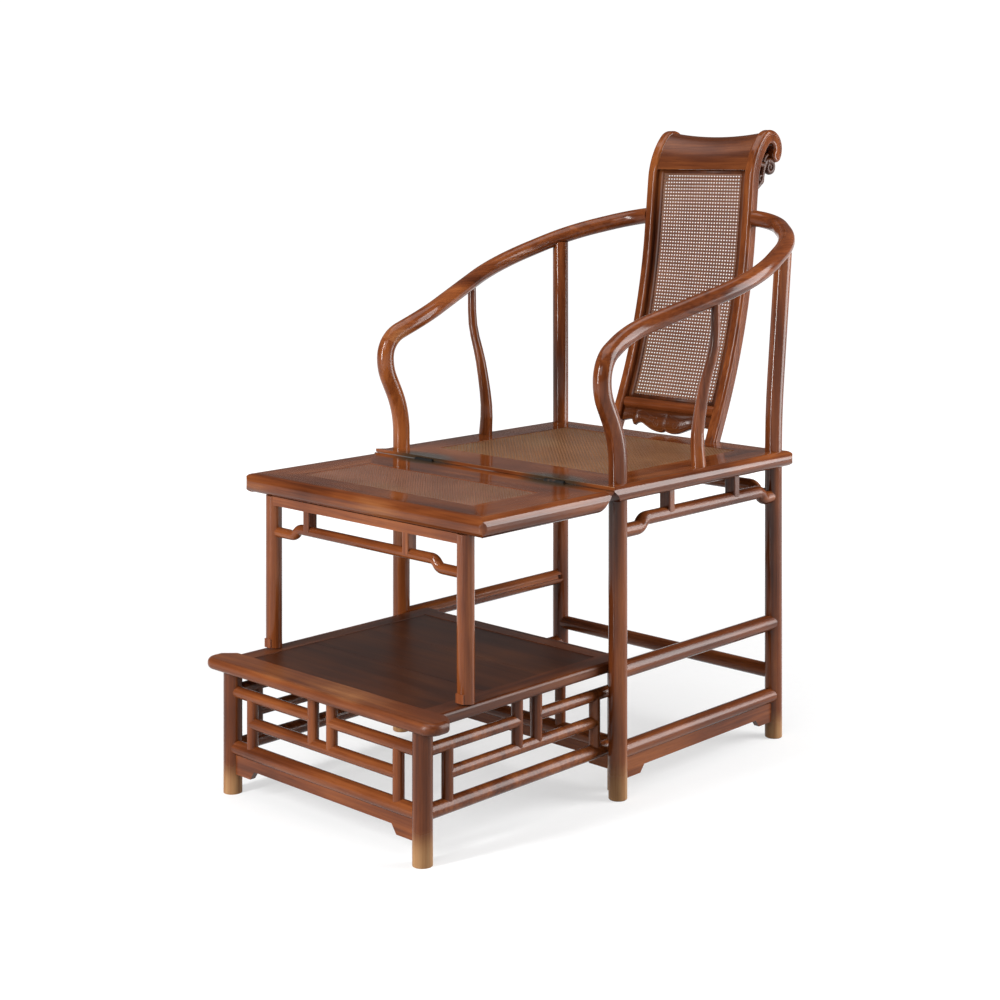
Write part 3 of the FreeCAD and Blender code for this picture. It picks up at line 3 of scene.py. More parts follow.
import bpy
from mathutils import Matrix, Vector


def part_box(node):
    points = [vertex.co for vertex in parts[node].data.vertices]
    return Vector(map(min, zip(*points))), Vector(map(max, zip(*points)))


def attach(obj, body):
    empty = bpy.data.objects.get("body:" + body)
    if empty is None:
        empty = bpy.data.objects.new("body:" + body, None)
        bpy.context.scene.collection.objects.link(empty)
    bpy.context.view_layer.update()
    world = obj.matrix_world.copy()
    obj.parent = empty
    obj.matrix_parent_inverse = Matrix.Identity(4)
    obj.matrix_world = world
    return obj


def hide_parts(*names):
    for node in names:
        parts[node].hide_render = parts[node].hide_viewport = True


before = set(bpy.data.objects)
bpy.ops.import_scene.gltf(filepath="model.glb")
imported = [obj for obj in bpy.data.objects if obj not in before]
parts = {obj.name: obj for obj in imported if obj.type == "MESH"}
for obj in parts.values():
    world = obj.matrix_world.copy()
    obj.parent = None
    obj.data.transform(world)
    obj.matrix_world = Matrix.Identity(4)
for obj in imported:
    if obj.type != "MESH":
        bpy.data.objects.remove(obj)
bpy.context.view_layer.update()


# Legs and posts: turned and shaped from a dense red-brown hardwood, oiled and rubbed to a soft polish.
# The grain runs up the leg. The feet have lost their polish and are pale where they stand on the floor.
class Tone:
    """One value in a finish. Sums and products of tones add the nodes that work them out."""

    def __init__(self, tree, socket):
        self.tree = tree
        self.socket = socket

    @staticmethod
    def node(tree, kind, settings=None, sockets=None, out=0):
        """Add one node: first its settings, then the values or links of its sockets."""
        made = tree.nodes.new(kind)
        for name, setting in (settings or {}).items():
            setattr(made, name, setting)
        for name, given in (sockets or {}).items():
            if isinstance(given, Tone):
                tree.links.new(given.socket, made.inputs[name])
            else:
                made.inputs[name].default_value = given
        return Tone(tree, made.outputs[out])

    def math(self, operation, first, second=0.0):
        return Tone.node(self.tree, "ShaderNodeMath", {"operation": operation}, {0: first, 1: second})

    def __add__(self, other):
        return self.math("ADD", self, other)

    def __radd__(self, other):
        return self.math("ADD", other, self)

    def __sub__(self, other):
        return self.math("SUBTRACT", self, other)

    def __rsub__(self, other):
        return self.math("SUBTRACT", other, self)

    def __mul__(self, other):
        return self.math("MULTIPLY", self, other)

    def __rmul__(self, other):
        return self.math("MULTIPLY", other, self)

    def __truediv__(self, other):
        return self.math("DIVIDE", self, other)

    def __rtruediv__(self, other):
        return self.math("DIVIDE", other, self)

    def fade(self, start, end):
        """0 before start, 1 after end, smooth between."""
        sockets = {"Value": self, "From Min": start, "From Max": end, "To Min": 0.0, "To Max": 1.0}
        return Tone.node(self.tree, "ShaderNodeMapRange", {"interpolation_type": "SMOOTHSTEP"}, sockets)

    def mixed(self, first, second):
        """Colour between two, by this tone."""
        sockets = {0: self, 6: first, 7: second}
        return Tone.node(self.tree, "ShaderNodeMix", {"data_type": "RGBA"}, sockets, out=2)

    def axes(self):
        """The three parts of a place."""
        split = Tone.node(self.tree, "ShaderNodeSeparateXYZ", {}, {0: self}).socket.node
        return [Tone(self.tree, output) for output in split.outputs]

    def noise(self, scale, detail=3.0, bend=0.0):
        """Soft random tone at a place, with its own fineness along each axis."""
        squeezed = Tone.node(self.tree, "ShaderNodeMapping", {}, {"Vector": self, "Scale": scale})
        sockets = {"Vector": squeezed, "Scale": 1.0, "Detail": detail, "Roughness": 0.55, "Distortion": bend}
        return Tone.node(self.tree, "ShaderNodeTexNoise", {}, sockets)


class Finish:
    """A material: its shader, and the place of each point of the piece it is on."""

    def __init__(self, name):
        self.material = bpy.data.materials.new(name)
        self.material.use_nodes = True
        self.tree = self.material.node_tree
        self.shader = self.tree.nodes["Principled BSDF"]
        self.place = Tone.node(self.tree, "ShaderNodeTexCoord", out="Object")

    def give(self, colour, rough, height, depth, relief=0.3):
        """Colour, roughness and surface relief of the finish."""
        sockets = {"Strength": relief, "Distance": depth, "Height": height}
        bump = Tone.node(self.tree, "ShaderNodeBump", {}, sockets)
        for name, tone in {"Base Color": colour, "Roughness": rough, "Normal": bump}.items():
            self.tree.links.new(tone.socket, self.shader.inputs[name])


DEEP_WOOD = (0.036, 0.0078, 0.0026, 1)
RED_WOOD = (0.135, 0.0335, 0.0088, 1)
LIGHT_WOOD = (0.285, 0.0860, 0.0220, 1)
WORN_WOOD = (0.400, 0.2260, 0.1010, 1)
RUBBED_WOOD = (0.310, 0.1500, 0.0600, 1)
IRON_STAIN = (0.0200, 0.0215, 0.0145, 1)


def hardwood(name, grain, shade=1.0, gloss=0.08, worn=None, stain=None):
    """Polished hardwood with its grain along one axis. Worn places are pale and dull, stained ones black."""
    finish = Finish(name)
    place = finish.place

    def along(fine, long):
        return tuple(long if axis == grain else fine for axis in "xyz")

    figure = place.noise(along(30, 1.8), 5.0, 0.7)
    streak = place.noise(along(210, 6))
    pores = place.noise(along(1300, 40), 2.0).fade(0.57, 0.70)
    cloud = place.noise((6, 6, 6), 2.0)
    body = figure * 0.55 + streak * 0.30 + cloud * 0.40
    colour = body.fade(0.36, 0.67).mixed(DEEP_WOOD, RED_WOOD)
    colour = body.fade(0.56, 0.90).mixed(colour, LIGHT_WOOD)
    colour = (pores * 0.3).mixed(colour, DEEP_WOOD)
    rough = gloss + cloud * 0.05
    if shade != 1.0:
        colour = Tone.node(finish.tree, "ShaderNodeHueSaturation", {}, {"Value": shade, "Color": colour})
    if worn:
        amount = worn(*place.axes()) + (cloud - 0.5) * 0.9 + (figure - 0.5) * 0.6
        bare = amount.fade(0.25, 1.0)
        colour = (bare * 0.85).mixed(colour, streak.fade(0.3, 0.7).mixed(RUBBED_WOOD, WORN_WOOD))
        rough = rough + bare * 0.28
    if stain:
        amount = stain(*place.axes()) + (cloud - 0.5) * 1.1 + (figure - 0.5) * 0.7
        black = amount.fade(-0.2, 0.9)
        colour = (black * 0.85).mixed(colour, IRON_STAIN)
        rough = rough + black * 0.08
    finish.give(colour, rough, streak, 0.0002, 0.01)
    finish.shader.inputs["Specular IOR Level"].default_value = 0.25
    return finish.material


def dress(material, *names):
    """Give made parts their finish."""
    for name in names:
        for slot in parts[name].material_slots:
            slot.material = material


worn_foot_height = 0.085


def foot_wear(x, y, z):
    """1 at the floor, falling to 0 above the worn foot."""
    return 1 - z.fade(0.0, worn_foot_height)


dress(hardwood("leg hardwood", "z", worn=foot_wear),
      "front_leg_left", "front_leg_right", "rear_leg_left", "rear_leg_right")


# Seat frame: four mitred rails of the same hardwood, each with its grain along its length.
# Iron hinges under the front joint have stained the wood black around them.
hinge_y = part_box("seat_rail_front")[0].y
hinge_x = 0.150
stain_half_length = 0.078
stain_half_width = 0.040


def hinge_stain(x, y, z):
    """1 over a hinge, falling to 0 at the edge of its stain."""
    across = (x.math("ABSOLUTE", x) - hinge_x) / stain_half_length
    outward = (y - hinge_y) / stain_half_width
    return 1 - (across * across + outward * outward)


seat_top_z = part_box("seat_rail_front")[1].z
worn_line = 0.0014


def joint_wear(x, y, z):
    """Up to 1 along the top edge of the joint, less towards its left end."""
    edge = (1 - (y - hinge_y).fade(worn_line / 2, worn_line)) * (z - seat_top_z).fade(-worn_line, 0.0)
    return edge * (0.2 + x.fade(-0.16, 0.05) * 0.55)


dress(hardwood("seat front rail", "x", worn=joint_wear, stain=hinge_stain), "seat_rail_front")
dress(hardwood("seat rear rail", "x"), "seat_rail_rear")
dress(hardwood("seat side rails", "y"), "seat_rail_left", "seat_rail_right")
dress(hardwood("bars under the cane", "x", shade=0.8, gloss=0.5), "seat_battens", "leg_rest_batten")


# Seat cane: fine split cane in a close plain weave over a palm mat, tucked into the rails all round.
# It has darkened to tan and shines from use.
def group_tree(name, *sockets):
    """Node group with named inputs, and its inputs as tones."""
    tree = bpy.data.node_groups.new(name, "GeometryNodeTree")
    tree.interface.new_socket("Geometry", in_out="OUTPUT", socket_type="NodeSocketGeometry")
    for label, kind in sockets:
        tree.interface.new_socket(label, in_out="INPUT", socket_type="NodeSocket" + kind)
    given = tree.nodes.new("NodeGroupInput")
    return tree, [Tone(tree, output) for output in list(given.outputs)[:len(sockets)]]


def joined(tree, geometries):
    """Several geometries as one."""
    join = tree.nodes.new("GeometryNodeJoinGeometry")
    for geometry in geometries:
        tree.links.new(geometry.socket, join.inputs[0])
    return Tone(tree, join.outputs[0])


def close_group(tree, geometry):
    """Send a geometry out of the group as plain mesh."""
    real = Tone.node(tree, "GeometryNodeRealizeInstances", {}, {"Geometry": geometry})
    tree.links.new(real.socket, tree.nodes.new("NodeGroupOutput").inputs[0])


def vector(tree, **axes):
    return Tone.node(tree, "ShaderNodeCombineXYZ", {}, axes)


def laid_strands(tree, start, end, points, rows, first, step, seed):
    """Copies of a straight strand, set side by side, each with its own chance value."""
    line = Tone.node(tree, "GeometryNodeCurvePrimitiveLine", {}, {"Start": start, "End": end})
    fine = Tone.node(tree, "GeometryNodeResampleCurve", {}, {"Curve": line, "Count": points})
    row = {"Count": rows, "Start Location": first, "Offset": step}
    places = Tone.node(tree, "GeometryNodeMeshLine", {}, row)
    copies = Tone.node(tree, "GeometryNodeInstanceOnPoints", {}, {"Points": places, "Instance": fine})
    loose = Tone.node(tree, "GeometryNodeRealizeInstances", {}, {"Geometry": copies})
    index = Tone.node(tree, "GeometryNodeInputIndex")
    chance = Tone.node(tree, "FunctionNodeRandomValue", {"data_type": "FLOAT"},
                       {"ID": index, "Seed": seed}, out=1)
    return Tone.node(tree, "GeometryNodeStoreNamedAttribute", {"data_type": "FLOAT", "domain": "CURVE"},
                     {"Geometry": loose, "Name": "strand", "Value": chance})


def flat_strands(tree, curves, width, thick):
    """Lines thickened to flat strands that lie level."""
    level = Tone.node(tree, "GeometryNodeSetCurveNormal", {"mode": "Z_UP"}, {"Curve": curves})
    section = Tone.node(tree, "GeometryNodeCurvePrimitiveQuadrilateral", {},
                        {"Width": width, "Height": thick})
    return Tone.node(tree, "GeometryNodeCurveToMesh", {},
                     {"Curve": level, "Profile Curve": section, "Fill Caps": True})


def close_weave_tree():
    """Flat strands over and under each other in both directions, on a mat."""
    tree, given = group_tree(
        "close cane weave", ("Width", "Float"), ("Depth", "Float"), ("Pitch", "Float"),
        ("Strand Width", "Float"), ("Strand Thickness", "Float"), ("Lift", "Float"),
        ("Mat Thickness", "Float"), ("Centre", "Vector"), ("Cane", "Material"), ("Mat", "Material"))
    width, depth, pitch, strand_width, strand_thick, lift, mat_thick, centre, cane, mat = given
    at_x, at_y = Tone.node(tree, "GeometryNodeInputPosition").axes()[:2]
    counts = [side.math("ROUND", side / pitch) for side in (width, depth)]
    turn_x = (at_x / width + 0.5) * counts[0] * math.pi
    turn_y = (at_y / depth + 0.5) * counts[1] * math.pi
    wave = lift * at_x.math("COSINE", turn_x) * at_x.math("COSINE", turn_y)
    across = laid_strands(tree, vector(tree, X=width * -0.5), vector(tree, X=width * 0.5), counts[0] + 1,
                          counts[1] + 1, vector(tree, Y=depth * -0.5), vector(tree, Y=depth / counts[1]), 3)
    inward = laid_strands(tree, vector(tree, Y=depth * -0.5), vector(tree, Y=depth * 0.5), counts[1] + 1,
                          counts[0] + 1, vector(tree, X=width * -0.5), vector(tree, X=width / counts[0]), 7)
    woven = []
    for strands, way in ((across, 1.0), (inward, -1.0)):
        bent = {"Geometry": strands, "Offset": vector(tree, Z=wave * way)}
        raised = Tone.node(tree, "GeometryNodeSetPosition", {}, bent)
        woven.append(flat_strands(tree, raised, strand_width, strand_thick))
    net = joined(tree, woven)
    caned = Tone.node(tree, "GeometryNodeSetMaterial", {}, {"Geometry": net, "Material": cane})
    size = vector(tree, X=width, Y=depth, Z=mat_thick)
    sheet = Tone.node(tree, "GeometryNodeMeshCube", {}, {"Size": size, "Vertices X": 12, "Vertices Y": 10})
    below = vector(tree, Z=(mat_thick * 0.5 + lift + strand_thick * 0.5) * -1)
    lower = Tone.node(tree, "GeometryNodeTransform", {}, {"Geometry": sheet, "Translation": below})
    matted = Tone.node(tree, "GeometryNodeSetMaterial", {}, {"Geometry": lower, "Material": mat})
    whole = joined(tree, [caned, matted])
    placed = Tone.node(tree, "GeometryNodeTransform", {}, {"Geometry": whole, "Translation": centre})
    close_group(tree, placed)
    return tree


def grown(name, tree, carrier, **settings):
    """Plain mesh piece that a node group makes from named sizes."""
    seed = bpy.data.objects.new(name + "_seed", carrier)
    bpy.context.scene.collection.objects.link(seed)
    grower = seed.modifiers.new("grow", "NODES")
    grower.node_group = tree
    for item in tree.interface.items_tree:
        label = item.name.replace(" ", "_").lower()
        if item.in_out == "INPUT" and label in settings:
            grower[item.identifier] = settings[label]
    mesh = bpy.data.meshes.new_from_object(seed.evaluated_get(bpy.context.evaluated_depsgraph_get()))
    bpy.data.objects.remove(seed)
    mesh.name = name
    return place_piece(name, mesh)


def place_piece(name, mesh):
    made = bpy.data.objects.new(name, mesh)
    bpy.context.scene.collection.objects.link(made)
    return made


def cane(name, pale, deep, rough):
    """Split cane: every strand a little different, with a glossy skin and darker patches."""
    finish = Finish(name)
    strand = Tone.node(finish.tree, "ShaderNodeAttribute", {"attribute_name": "strand"}, out="Fac")
    patches = finish.place.noise((11, 11, 11), 4.0)
    fibre = finish.place.noise((600, 600, 600), 2.0)
    blend = (strand * 0.12 + patches * 0.9 + fibre * 0.25).fade(0.3, 1.15)
    olive = finish.place.noise((4, 9, 4), 3.0).fade(0.48, 0.72) * 0.45
    colour = olive.mixed(blend.mixed((*deep, 1), (*pale, 1)), (0.150, 0.092, 0.044, 1))
    finish.give(colour, rough + fibre * 0.12 + strand * 0.06, fibre, 0.0002, 0.05)
    finish.shader.inputs["Specular IOR Level"].default_value = 0.2
    return finish.material


close_weave = close_weave_tree()
palm_mat = cane("palm mat", (0.125, 0.062, 0.030), (0.070, 0.032, 0.015), 0.6)


def close_cane(name, node, pitch, finish):
    """Close-woven panel in the place of a plain sheet."""
    low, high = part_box(node)
    thick = 0.0005
    lift = 0.000015
    tuck = 0.0003
    middle = high.z - thick / 2 - lift
    return grown(name, close_weave, bpy.data.meshes.new(name), width=high.x - low.x - 2 * tuck,
                 depth=high.y - low.y - 2 * tuck, pitch=pitch, strand_width=pitch * 0.985,
                 strand_thickness=thick, lift=lift, mat_thickness=middle - lift - thick / 2 - low.z - tuck,
                 centre=((low.x + high.x) / 2, (low.y + high.y) / 2, middle), cane=finish, mat=palm_mat)


tan_cane = cane("tan seat cane", (0.225, 0.100, 0.042), (0.115, 0.047, 0.019), 0.36)
seat_panel = close_cane("seat_cane_panel", "seat_cane", 0.0037, tan_cane)
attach(seat_panel, "chair")
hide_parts("seat_cane")


# Arms and side supports: each arm is two shaped lengths scarfed together, sawn from solid wood so that
# the grain runs straight through the curve. Hands have rubbed the front bends pale.
arm_front_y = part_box("arm_front_right")[0].y
rubbed_bend_start = 0.02
rubbed_bend_end = 0.10


def hand_wear(x, y, z):
    """Slight wear on the front bend of an arm, none further back."""
    return 0.36 - (y - arm_front_y).fade(rubbed_bend_start, rubbed_bend_end) * 0.6


dress(hardwood("arm hardwood", "y", shade=1.1, gloss=0.15, worn=hand_wear),
      "arm_front_left", "arm_front_right")
dress(hardwood("rear arm hardwood", "x", shade=1.1, gloss=0.15), "arm_rear_left", "arm_rear_right")
dress(hardwood("support hardwood", "z", shade=1.1), "arm_supports")


# Stretchers, humpback bars, struts and aprons between the legs, plainly polished.
# The side ones run front to back, the rear ones across.
dress(hardwood("side stretchers", "y", gloss=0.2), "side_stretcher_left", "side_stretcher_right",
      "lower_stretchers", "lower_aprons", "humpback_left", "humpback_right")
dress(hardwood("rear stretchers", "x", gloss=0.2), "rear_stretcher", "humpback_rear")
dress(hardwood("short struts", "z", gloss=0.22), "humpback_struts")


# Back stiles and headrest: two S-curved stiles that end in scrolls, and a board bent over between them.
# Two fine beads are worked along each stile's outer side, just behind its rounded front, and painted paler as
# a painted highlight.
dress(hardwood("stile hardwood", "z"), "back_stile_left", "back_stile_right")
dress(hardwood("headrest hardwood", "x", shade=0.74, gloss=0.24), "headrest_board")
dress(hardwood("back rail", "x", shade=1.1), "back_lower_rail")


def rod(points, radii, flatten=1.0, sides=8):
    """Corners and faces of a round bar along a line in the YZ plane, or flattened across it."""
    corners, faces = [], []
    last = len(points) - 1
    for index, (point, radius) in enumerate(zip(points, radii)):
        ahead = points[min(index + 1, last)] - points[max(index - 1, 0)]
        up = Vector((1, 0, 0)).cross(ahead).normalized()
        for side in range(sides):
            turn = 2 * math.pi * side / sides
            corners.append(point + up * radius * math.cos(turn)
                           + Vector((1, 0, 0)) * radius * flatten * math.sin(turn))
    for index in range(last):
        for side in range(sides):
            near = index * sides + side
            beside = index * sides + (side + 1) % sides
            faces.append((near, beside, beside + sides, near + sides))
    faces.append(tuple(reversed(range(sides))))
    faces.append(tuple(last * sides + side for side in range(sides)))
    return corners, faces


def mesh_piece(name, shells, material, body):
    """One piece from several closed shells."""
    corners, faces = [], []
    for shell_corners, shell_faces in shells:
        faces += [tuple(corner + len(corners) for corner in face) for face in shell_faces]
        corners += shell_corners
    mesh = bpy.data.meshes.new(name)
    mesh.from_pydata(corners, [], faces)
    mesh.shade_smooth()
    mesh.materials.append(material)
    made = place_piece(name, mesh)
    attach(made, body)
    return made


def front_round_line(node, side):
    """Line along a stile's outer side where its rounded front begins, from the foot to the scroll's end."""
    low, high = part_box(node)
    outer = high.x if side > 0 else low.x
    mesh = parts[node].data
    spots = [tuple(round(value, 5) for value in vertex.co) for vertex in mesh.vertices]
    uses, onward = {}, {}
    for polygon in mesh.polygons:
        ring = [spots[index] for index in polygon.vertices]
        if all(abs(spot[0] - outer) < 2e-5 for spot in ring):
            for first, second in zip(ring, ring[1:] + ring[:1]):
                uses[frozenset((first, second))] = uses.get(frozenset((first, second)), 0) + 1
    for edge, count in uses.items():
        if count == 1:
            first, second = tuple(edge)
            onward.setdefault(first, []).append(second)
            onward.setdefault(second, []).append(first)
    lowest = sorted(onward, key=lambda spot: spot[2])[:2]
    rear, start = sorted(lowest, key=lambda spot: -spot[1])
    walk = [rear, start]
    while walk[-1] != rear:
        walk += [spot for spot in onward[walk[-1]] if spot != walk[-2]][:1]
    crest = max(range(len(walk)), key=lambda index: walk[index][2])
    tip = next(index for index in range(crest, len(walk)) if walk[index + 1][2] > walk[index][2])
    return [Vector(spot) for spot in walk[1:tip + 1]]


bead_radius = 0.0009
bead_spacing = 0.0026
bead_shells = []
for node, side in (("back_stile_left", -1), ("back_stile_right", 1)):
    line = front_round_line(node, side)
    for shift in (0.0, bead_spacing):
        shifted = []
        for index, point in enumerate(line):
            ahead = line[min(index + 1, len(line) - 1)] - line[max(index - 1, 0)]
            inward = ahead.cross(Vector((1, 0, 0))).normalized()
            shifted.append(point + inward * shift)
        bead_shells.append(rod(shifted, [bead_radius] * len(shifted), 0.7))
# The beads are painted paler than the stile, a painted highlight for the light lines they catch along its
# side.
bead_wood_painted_highlight = hardwood("bead hardwood with painted highlight", "z", shade=1.25, gloss=0.2)
beads = mesh_piece("stile_beads", bead_shells, bead_wood_painted_highlight, "chair")


# Open cane of the back: pairs of strands up and across, and single ones on both diagonals, so that only
# small round holes stay open. Wooden splines hold its edges in the frame of the back.
def open_weave_tree():
    """Open cane net made flat, then bent to the side line of the back."""
    tree, given = group_tree(
        "open cane weave", ("Side Line", "Geometry"), ("Width", "Float"), ("Pitch", "Float"),
        ("Pair Gap", "Float"), ("Strand Width", "Float"), ("Strand Thickness", "Float"), ("Cane", "Material"))
    side_line, width, pitch, pair_gap, strand_width, strand_thick, cane_given = given
    line = Tone.node(tree, "GeometryNodeMeshToCurve", {}, {"Mesh": side_line})
    length = Tone.node(tree, "GeometryNodeCurveLength", {}, {"Curve": line})
    columns = width.math("ROUND", width / pitch)
    rows = width.math("ROUND", length / pitch)
    step_x = width / columns
    step_y = length / rows
    half = width * 0.5
    sets = []
    for pair, (side, layer) in enumerate(((-0.5, -0.6), (0.5, 0.6))):
        upright = laid_strands(
            tree, vector(tree), vector(tree, Y=length), rows + 1, columns,
            vector(tree, X=step_x * 0.5 - half + pair_gap * side, Z=strand_thick * (layer - 0.5)),
            vector(tree, X=step_x), 11 + pair)
        level = laid_strands(
            tree, vector(tree, X=half * -1), vector(tree, X=half), columns + 1, rows,
            vector(tree, Y=step_y * 0.5 + pair_gap * side, Z=strand_thick * (layer + 0.5)),
            vector(tree, Y=step_y), 21 + pair)
        sets += [upright, level]
    rise = columns * step_y * 0.5
    for way, layer in ((1, 1.7), (-1, -1.7)):
        slant = laid_strands(
            tree, vector(tree, X=half * -way, Y=rise * -1), vector(tree, X=half * way, Y=rise), columns + 1,
            rows + columns, vector(tree, Y=step_y * 0.5 - rise, Z=strand_thick * layer),
            vector(tree, Y=step_y), 31 + way)
        at_y = Tone.node(tree, "GeometryNodeInputPosition").axes()[1]
        below = at_y.math("LESS_THAN", at_y, -0.0001)
        above = at_y.math("GREATER_THAN", at_y, length + 0.0001)
        trimmed = Tone.node(tree, "GeometryNodeDeleteGeometry", {"domain": "POINT"},
                            {"Geometry": slant, "Selection": below + above})
        sets.append(trimmed)
    flat = flat_strands(tree, joined(tree, sets), strand_width, strand_thick)
    across, along, off = Tone.node(tree, "GeometryNodeInputPosition").axes()
    sampled = Tone.node(tree, "GeometryNodeSampleCurve", {"mode": "LENGTH"},
                        {"Curves": line, "Length": along}, out="Position")
    tangent = Tone(tree, sampled.socket.node.outputs["Tangent"])
    facing = Tone.node(tree, "ShaderNodeVectorMath", {"operation": "CROSS_PRODUCT"},
                       {0: (1, 0, 0), 1: tangent})
    lifted = Tone.node(tree, "ShaderNodeVectorMath", {"operation": "SCALE"}, {0: facing, "Scale": off})
    sideways = vector(tree, X=across)
    spread = Tone.node(tree, "ShaderNodeVectorMath", {"operation": "ADD"}, {0: lifted, 1: sideways})
    place = Tone.node(tree, "ShaderNodeVectorMath", {"operation": "ADD"}, {0: sampled, 1: spread})
    bent = Tone.node(tree, "GeometryNodeSetPosition", {}, {"Geometry": flat, "Position": place})
    caned = Tone.node(tree, "GeometryNodeSetMaterial", {}, {"Geometry": bent, "Material": cane_given})
    close_group(tree, caned)
    return tree


def middle_line(node, steps):
    """Points up the middle of an upright panel, halfway between its front and its rear."""
    low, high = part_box(node)
    panel = parts[node]
    line = []
    for step in range(steps + 1):
        z = low.z + 0.0005 + (high.z - low.z - 0.001) * step / steps
        front = panel.ray_cast(Vector((0, low.y - 1, z)), Vector((0, 1, 0)))[1]
        rear = panel.ray_cast(Vector((0, high.y + 1, z)), Vector((0, -1, 0)))[1]
        line.append(Vector((0, (front.y + rear.y) / 2, z)))
    return line


back_line = middle_line("back_cane", 60)
back_low, back_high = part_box("back_cane")
spline_width = 0.0125
spline_thick = 0.0032
carrier = bpy.data.meshes.new("back_line")
carrier.from_pydata(back_line, [(step, step + 1) for step in range(len(back_line) - 1)], [])
brown_cane = cane("brown back cane", (0.270, 0.125, 0.075), (0.140, 0.056, 0.032), 0.34)
back_panel = grown("back_cane_net", open_weave_tree(), carrier,
                   width=back_high.x - back_low.x - 2 * spline_width, pitch=0.0063, pair_gap=0.0015,
                   strand_width=0.0016, strand_thickness=0.0005, cane=brown_cane)
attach(back_panel, "chair")
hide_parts("back_cane")


def bent_strip(line, low_x, high_x, thick):
    """Flat strip that follows a side line, between two places across."""
    corners, faces = [], []
    last = len(line) - 1
    for index, point in enumerate(line):
        ahead = line[min(index + 1, last)] - line[max(index - 1, 0)]
        facing = Vector((1, 0, 0)).cross(ahead).normalized()
        for x, off in ((low_x, -1), (high_x, -1), (high_x, 1), (low_x, 1)):
            corners.append(Vector((x, 0, 0)) + point + facing * off * thick / 2)
    for index in range(last):
        for side in range(4):
            near = index * 4 + side
            beside = index * 4 + (side + 1) % 4
            faces.append((near, beside, beside + 4, near + 4))
    faces.append((3, 2, 1, 0))
    faces.append(tuple(last * 4 + side for side in range(4)))
    return corners, faces


splines = [
    bent_strip(back_line, back_low.x, back_low.x + spline_width, spline_thick),
    bent_strip(back_line, back_high.x - spline_width, back_high.x, spline_thick),
    bent_strip(back_line[:2], back_low.x + spline_width, back_high.x - spline_width, spline_thick),
    bent_strip(back_line[-2:], back_low.x + spline_width, back_high.x - spline_width, spline_thick),
]
# The splines are painted dark, partly the colour of the tight cane along its edges and partly painted shade
# beside the stiles and under the headrest.
spline_wood_with_painted_shade = hardwood("spline hardwood with painted shade", "z", shade=0.5, gloss=0.4)
edging = mesh_piece("cane_splines", splines, spline_wood_with_painted_shade, "chair")


# Carved apron of the back: a thin board under the rail with a cusped lower edge, a raised rim along that
# edge, and curling leaf scrolls carved in low relief to either side of the middle.
apron_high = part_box("back_apron")[1]
lean_from = back_line[0]
lean_along = (back_line[4] - back_line[0]).normalized()
apron_front = Vector((1, 0, 0)).cross(lean_along).normalized()
apron_thick = 0.009


def on_apron(x, z, off=0.0):
    """Place on the leaning apron, off its middle towards the front."""
    rise = (z - lean_from.z) / lean_along.z
    return Vector((x, 0, 0)) + lean_from + lean_along * rise + apron_front * off


def smooth_line(stations, parts_between):
    """Points on a smooth curve through stations of x and z."""
    closed_ends = [stations[0]] + list(stations) + [stations[-1]]
    line = []
    for before, start, finish, after in zip(closed_ends, closed_ends[1:], closed_ends[2:], closed_ends[3:]):
        for part in range(parts_between):
            t = part / parts_between
            spot = []
            for a, b, c, d in zip(before, start, finish, after):
                spot.append(0.5 * (2 * b + (c - a) * t + (2 * a - 5 * b + 4 * c - d) * t * t
                                   + (3 * b - a - 3 * c + d) * t * t * t))
            line.append(tuple(spot))
    line.append(stations[-1])
    return line


apron_half_width = apron_high.x
apron_top = apron_high.z
lobe = smooth_line([(0.0, 0.5095), (0.005, 0.5055), (0.014, 0.5040), (0.028, 0.5055), (0.042, 0.5105),
                    (0.054, 0.5155), (0.063, 0.5170), (0.070, 0.5150), (0.0735, 0.5115)], 4)
hook = smooth_line([(0.0735, 0.5115), (0.0765, 0.5145), (0.0795, 0.5195), (0.086, 0.5210), (0.095, 0.5195),
                    (apron_half_width, 0.5170)], 4)
half_edge = lobe + hook[1:]
lower_edge = [(-x, z) for x, z in reversed(half_edge[1:])] + half_edge


def apron_board(edge, top, thick):
    """Board between a straight top and a shaped lower edge."""
    corners, faces = [], []
    for x, z in edge:
        for height, off in ((z, 1), (top, 1), (top, -1), (z, -1)):
            corners.append(on_apron(x, height, off * thick / 2))
    for index in range(len(edge) - 1):
        for side in range(4):
            near = index * 4 + side
            beside = index * 4 + (side + 1) % 4
            faces.append((near, near + 4, beside + 4, beside))
    faces.append((0, 1, 2, 3))
    end = (len(edge) - 1) * 4
    faces.append((end + 3, end + 2, end + 1, end))
    return corners, faces


def carved_rod(spots, thick_start, thick_end, off):
    """Rounded ridge along spots of x and z on the apron's front, tapering to its end."""
    points = [on_apron(x, z, off) for x, z in spots]
    corners, faces = [], []
    sides = 6
    last = len(points) - 1
    for index, point in enumerate(points):
        ahead = points[min(index + 1, last)] - points[max(index - 1, 0)]
        beside = apron_front.cross(ahead).normalized()
        thick = thick_start + (thick_end - thick_start) * index / last
        for side in range(sides):
            turn = 2 * math.pi * side / sides
            corners.append(point + beside * thick * math.cos(turn) + apron_front * thick * math.sin(turn))
    for index in range(last):
        for side in range(sides):
            near = index * sides + side
            next_side = index * sides + (side + 1) % sides
            faces.append((near, near + sides, next_side + sides, next_side))
    faces.append(tuple(range(sides)))
    faces.append(tuple(last * sides + side for side in reversed(range(sides))))
    return corners, faces


def curl(centre_x, centre_z, radius, turns, start_turn, way):
    """Spots of a spiral that winds inward."""
    count = int(14 * turns)
    spots = []
    for step in range(count + 1):
        share = step / count
        turn = start_turn + way * 2 * math.pi * turns * share
        reach = radius * (1 - 0.82 * share)
        spots.append((centre_x + reach * math.cos(turn), centre_z + reach * math.sin(turn)))
    return spots


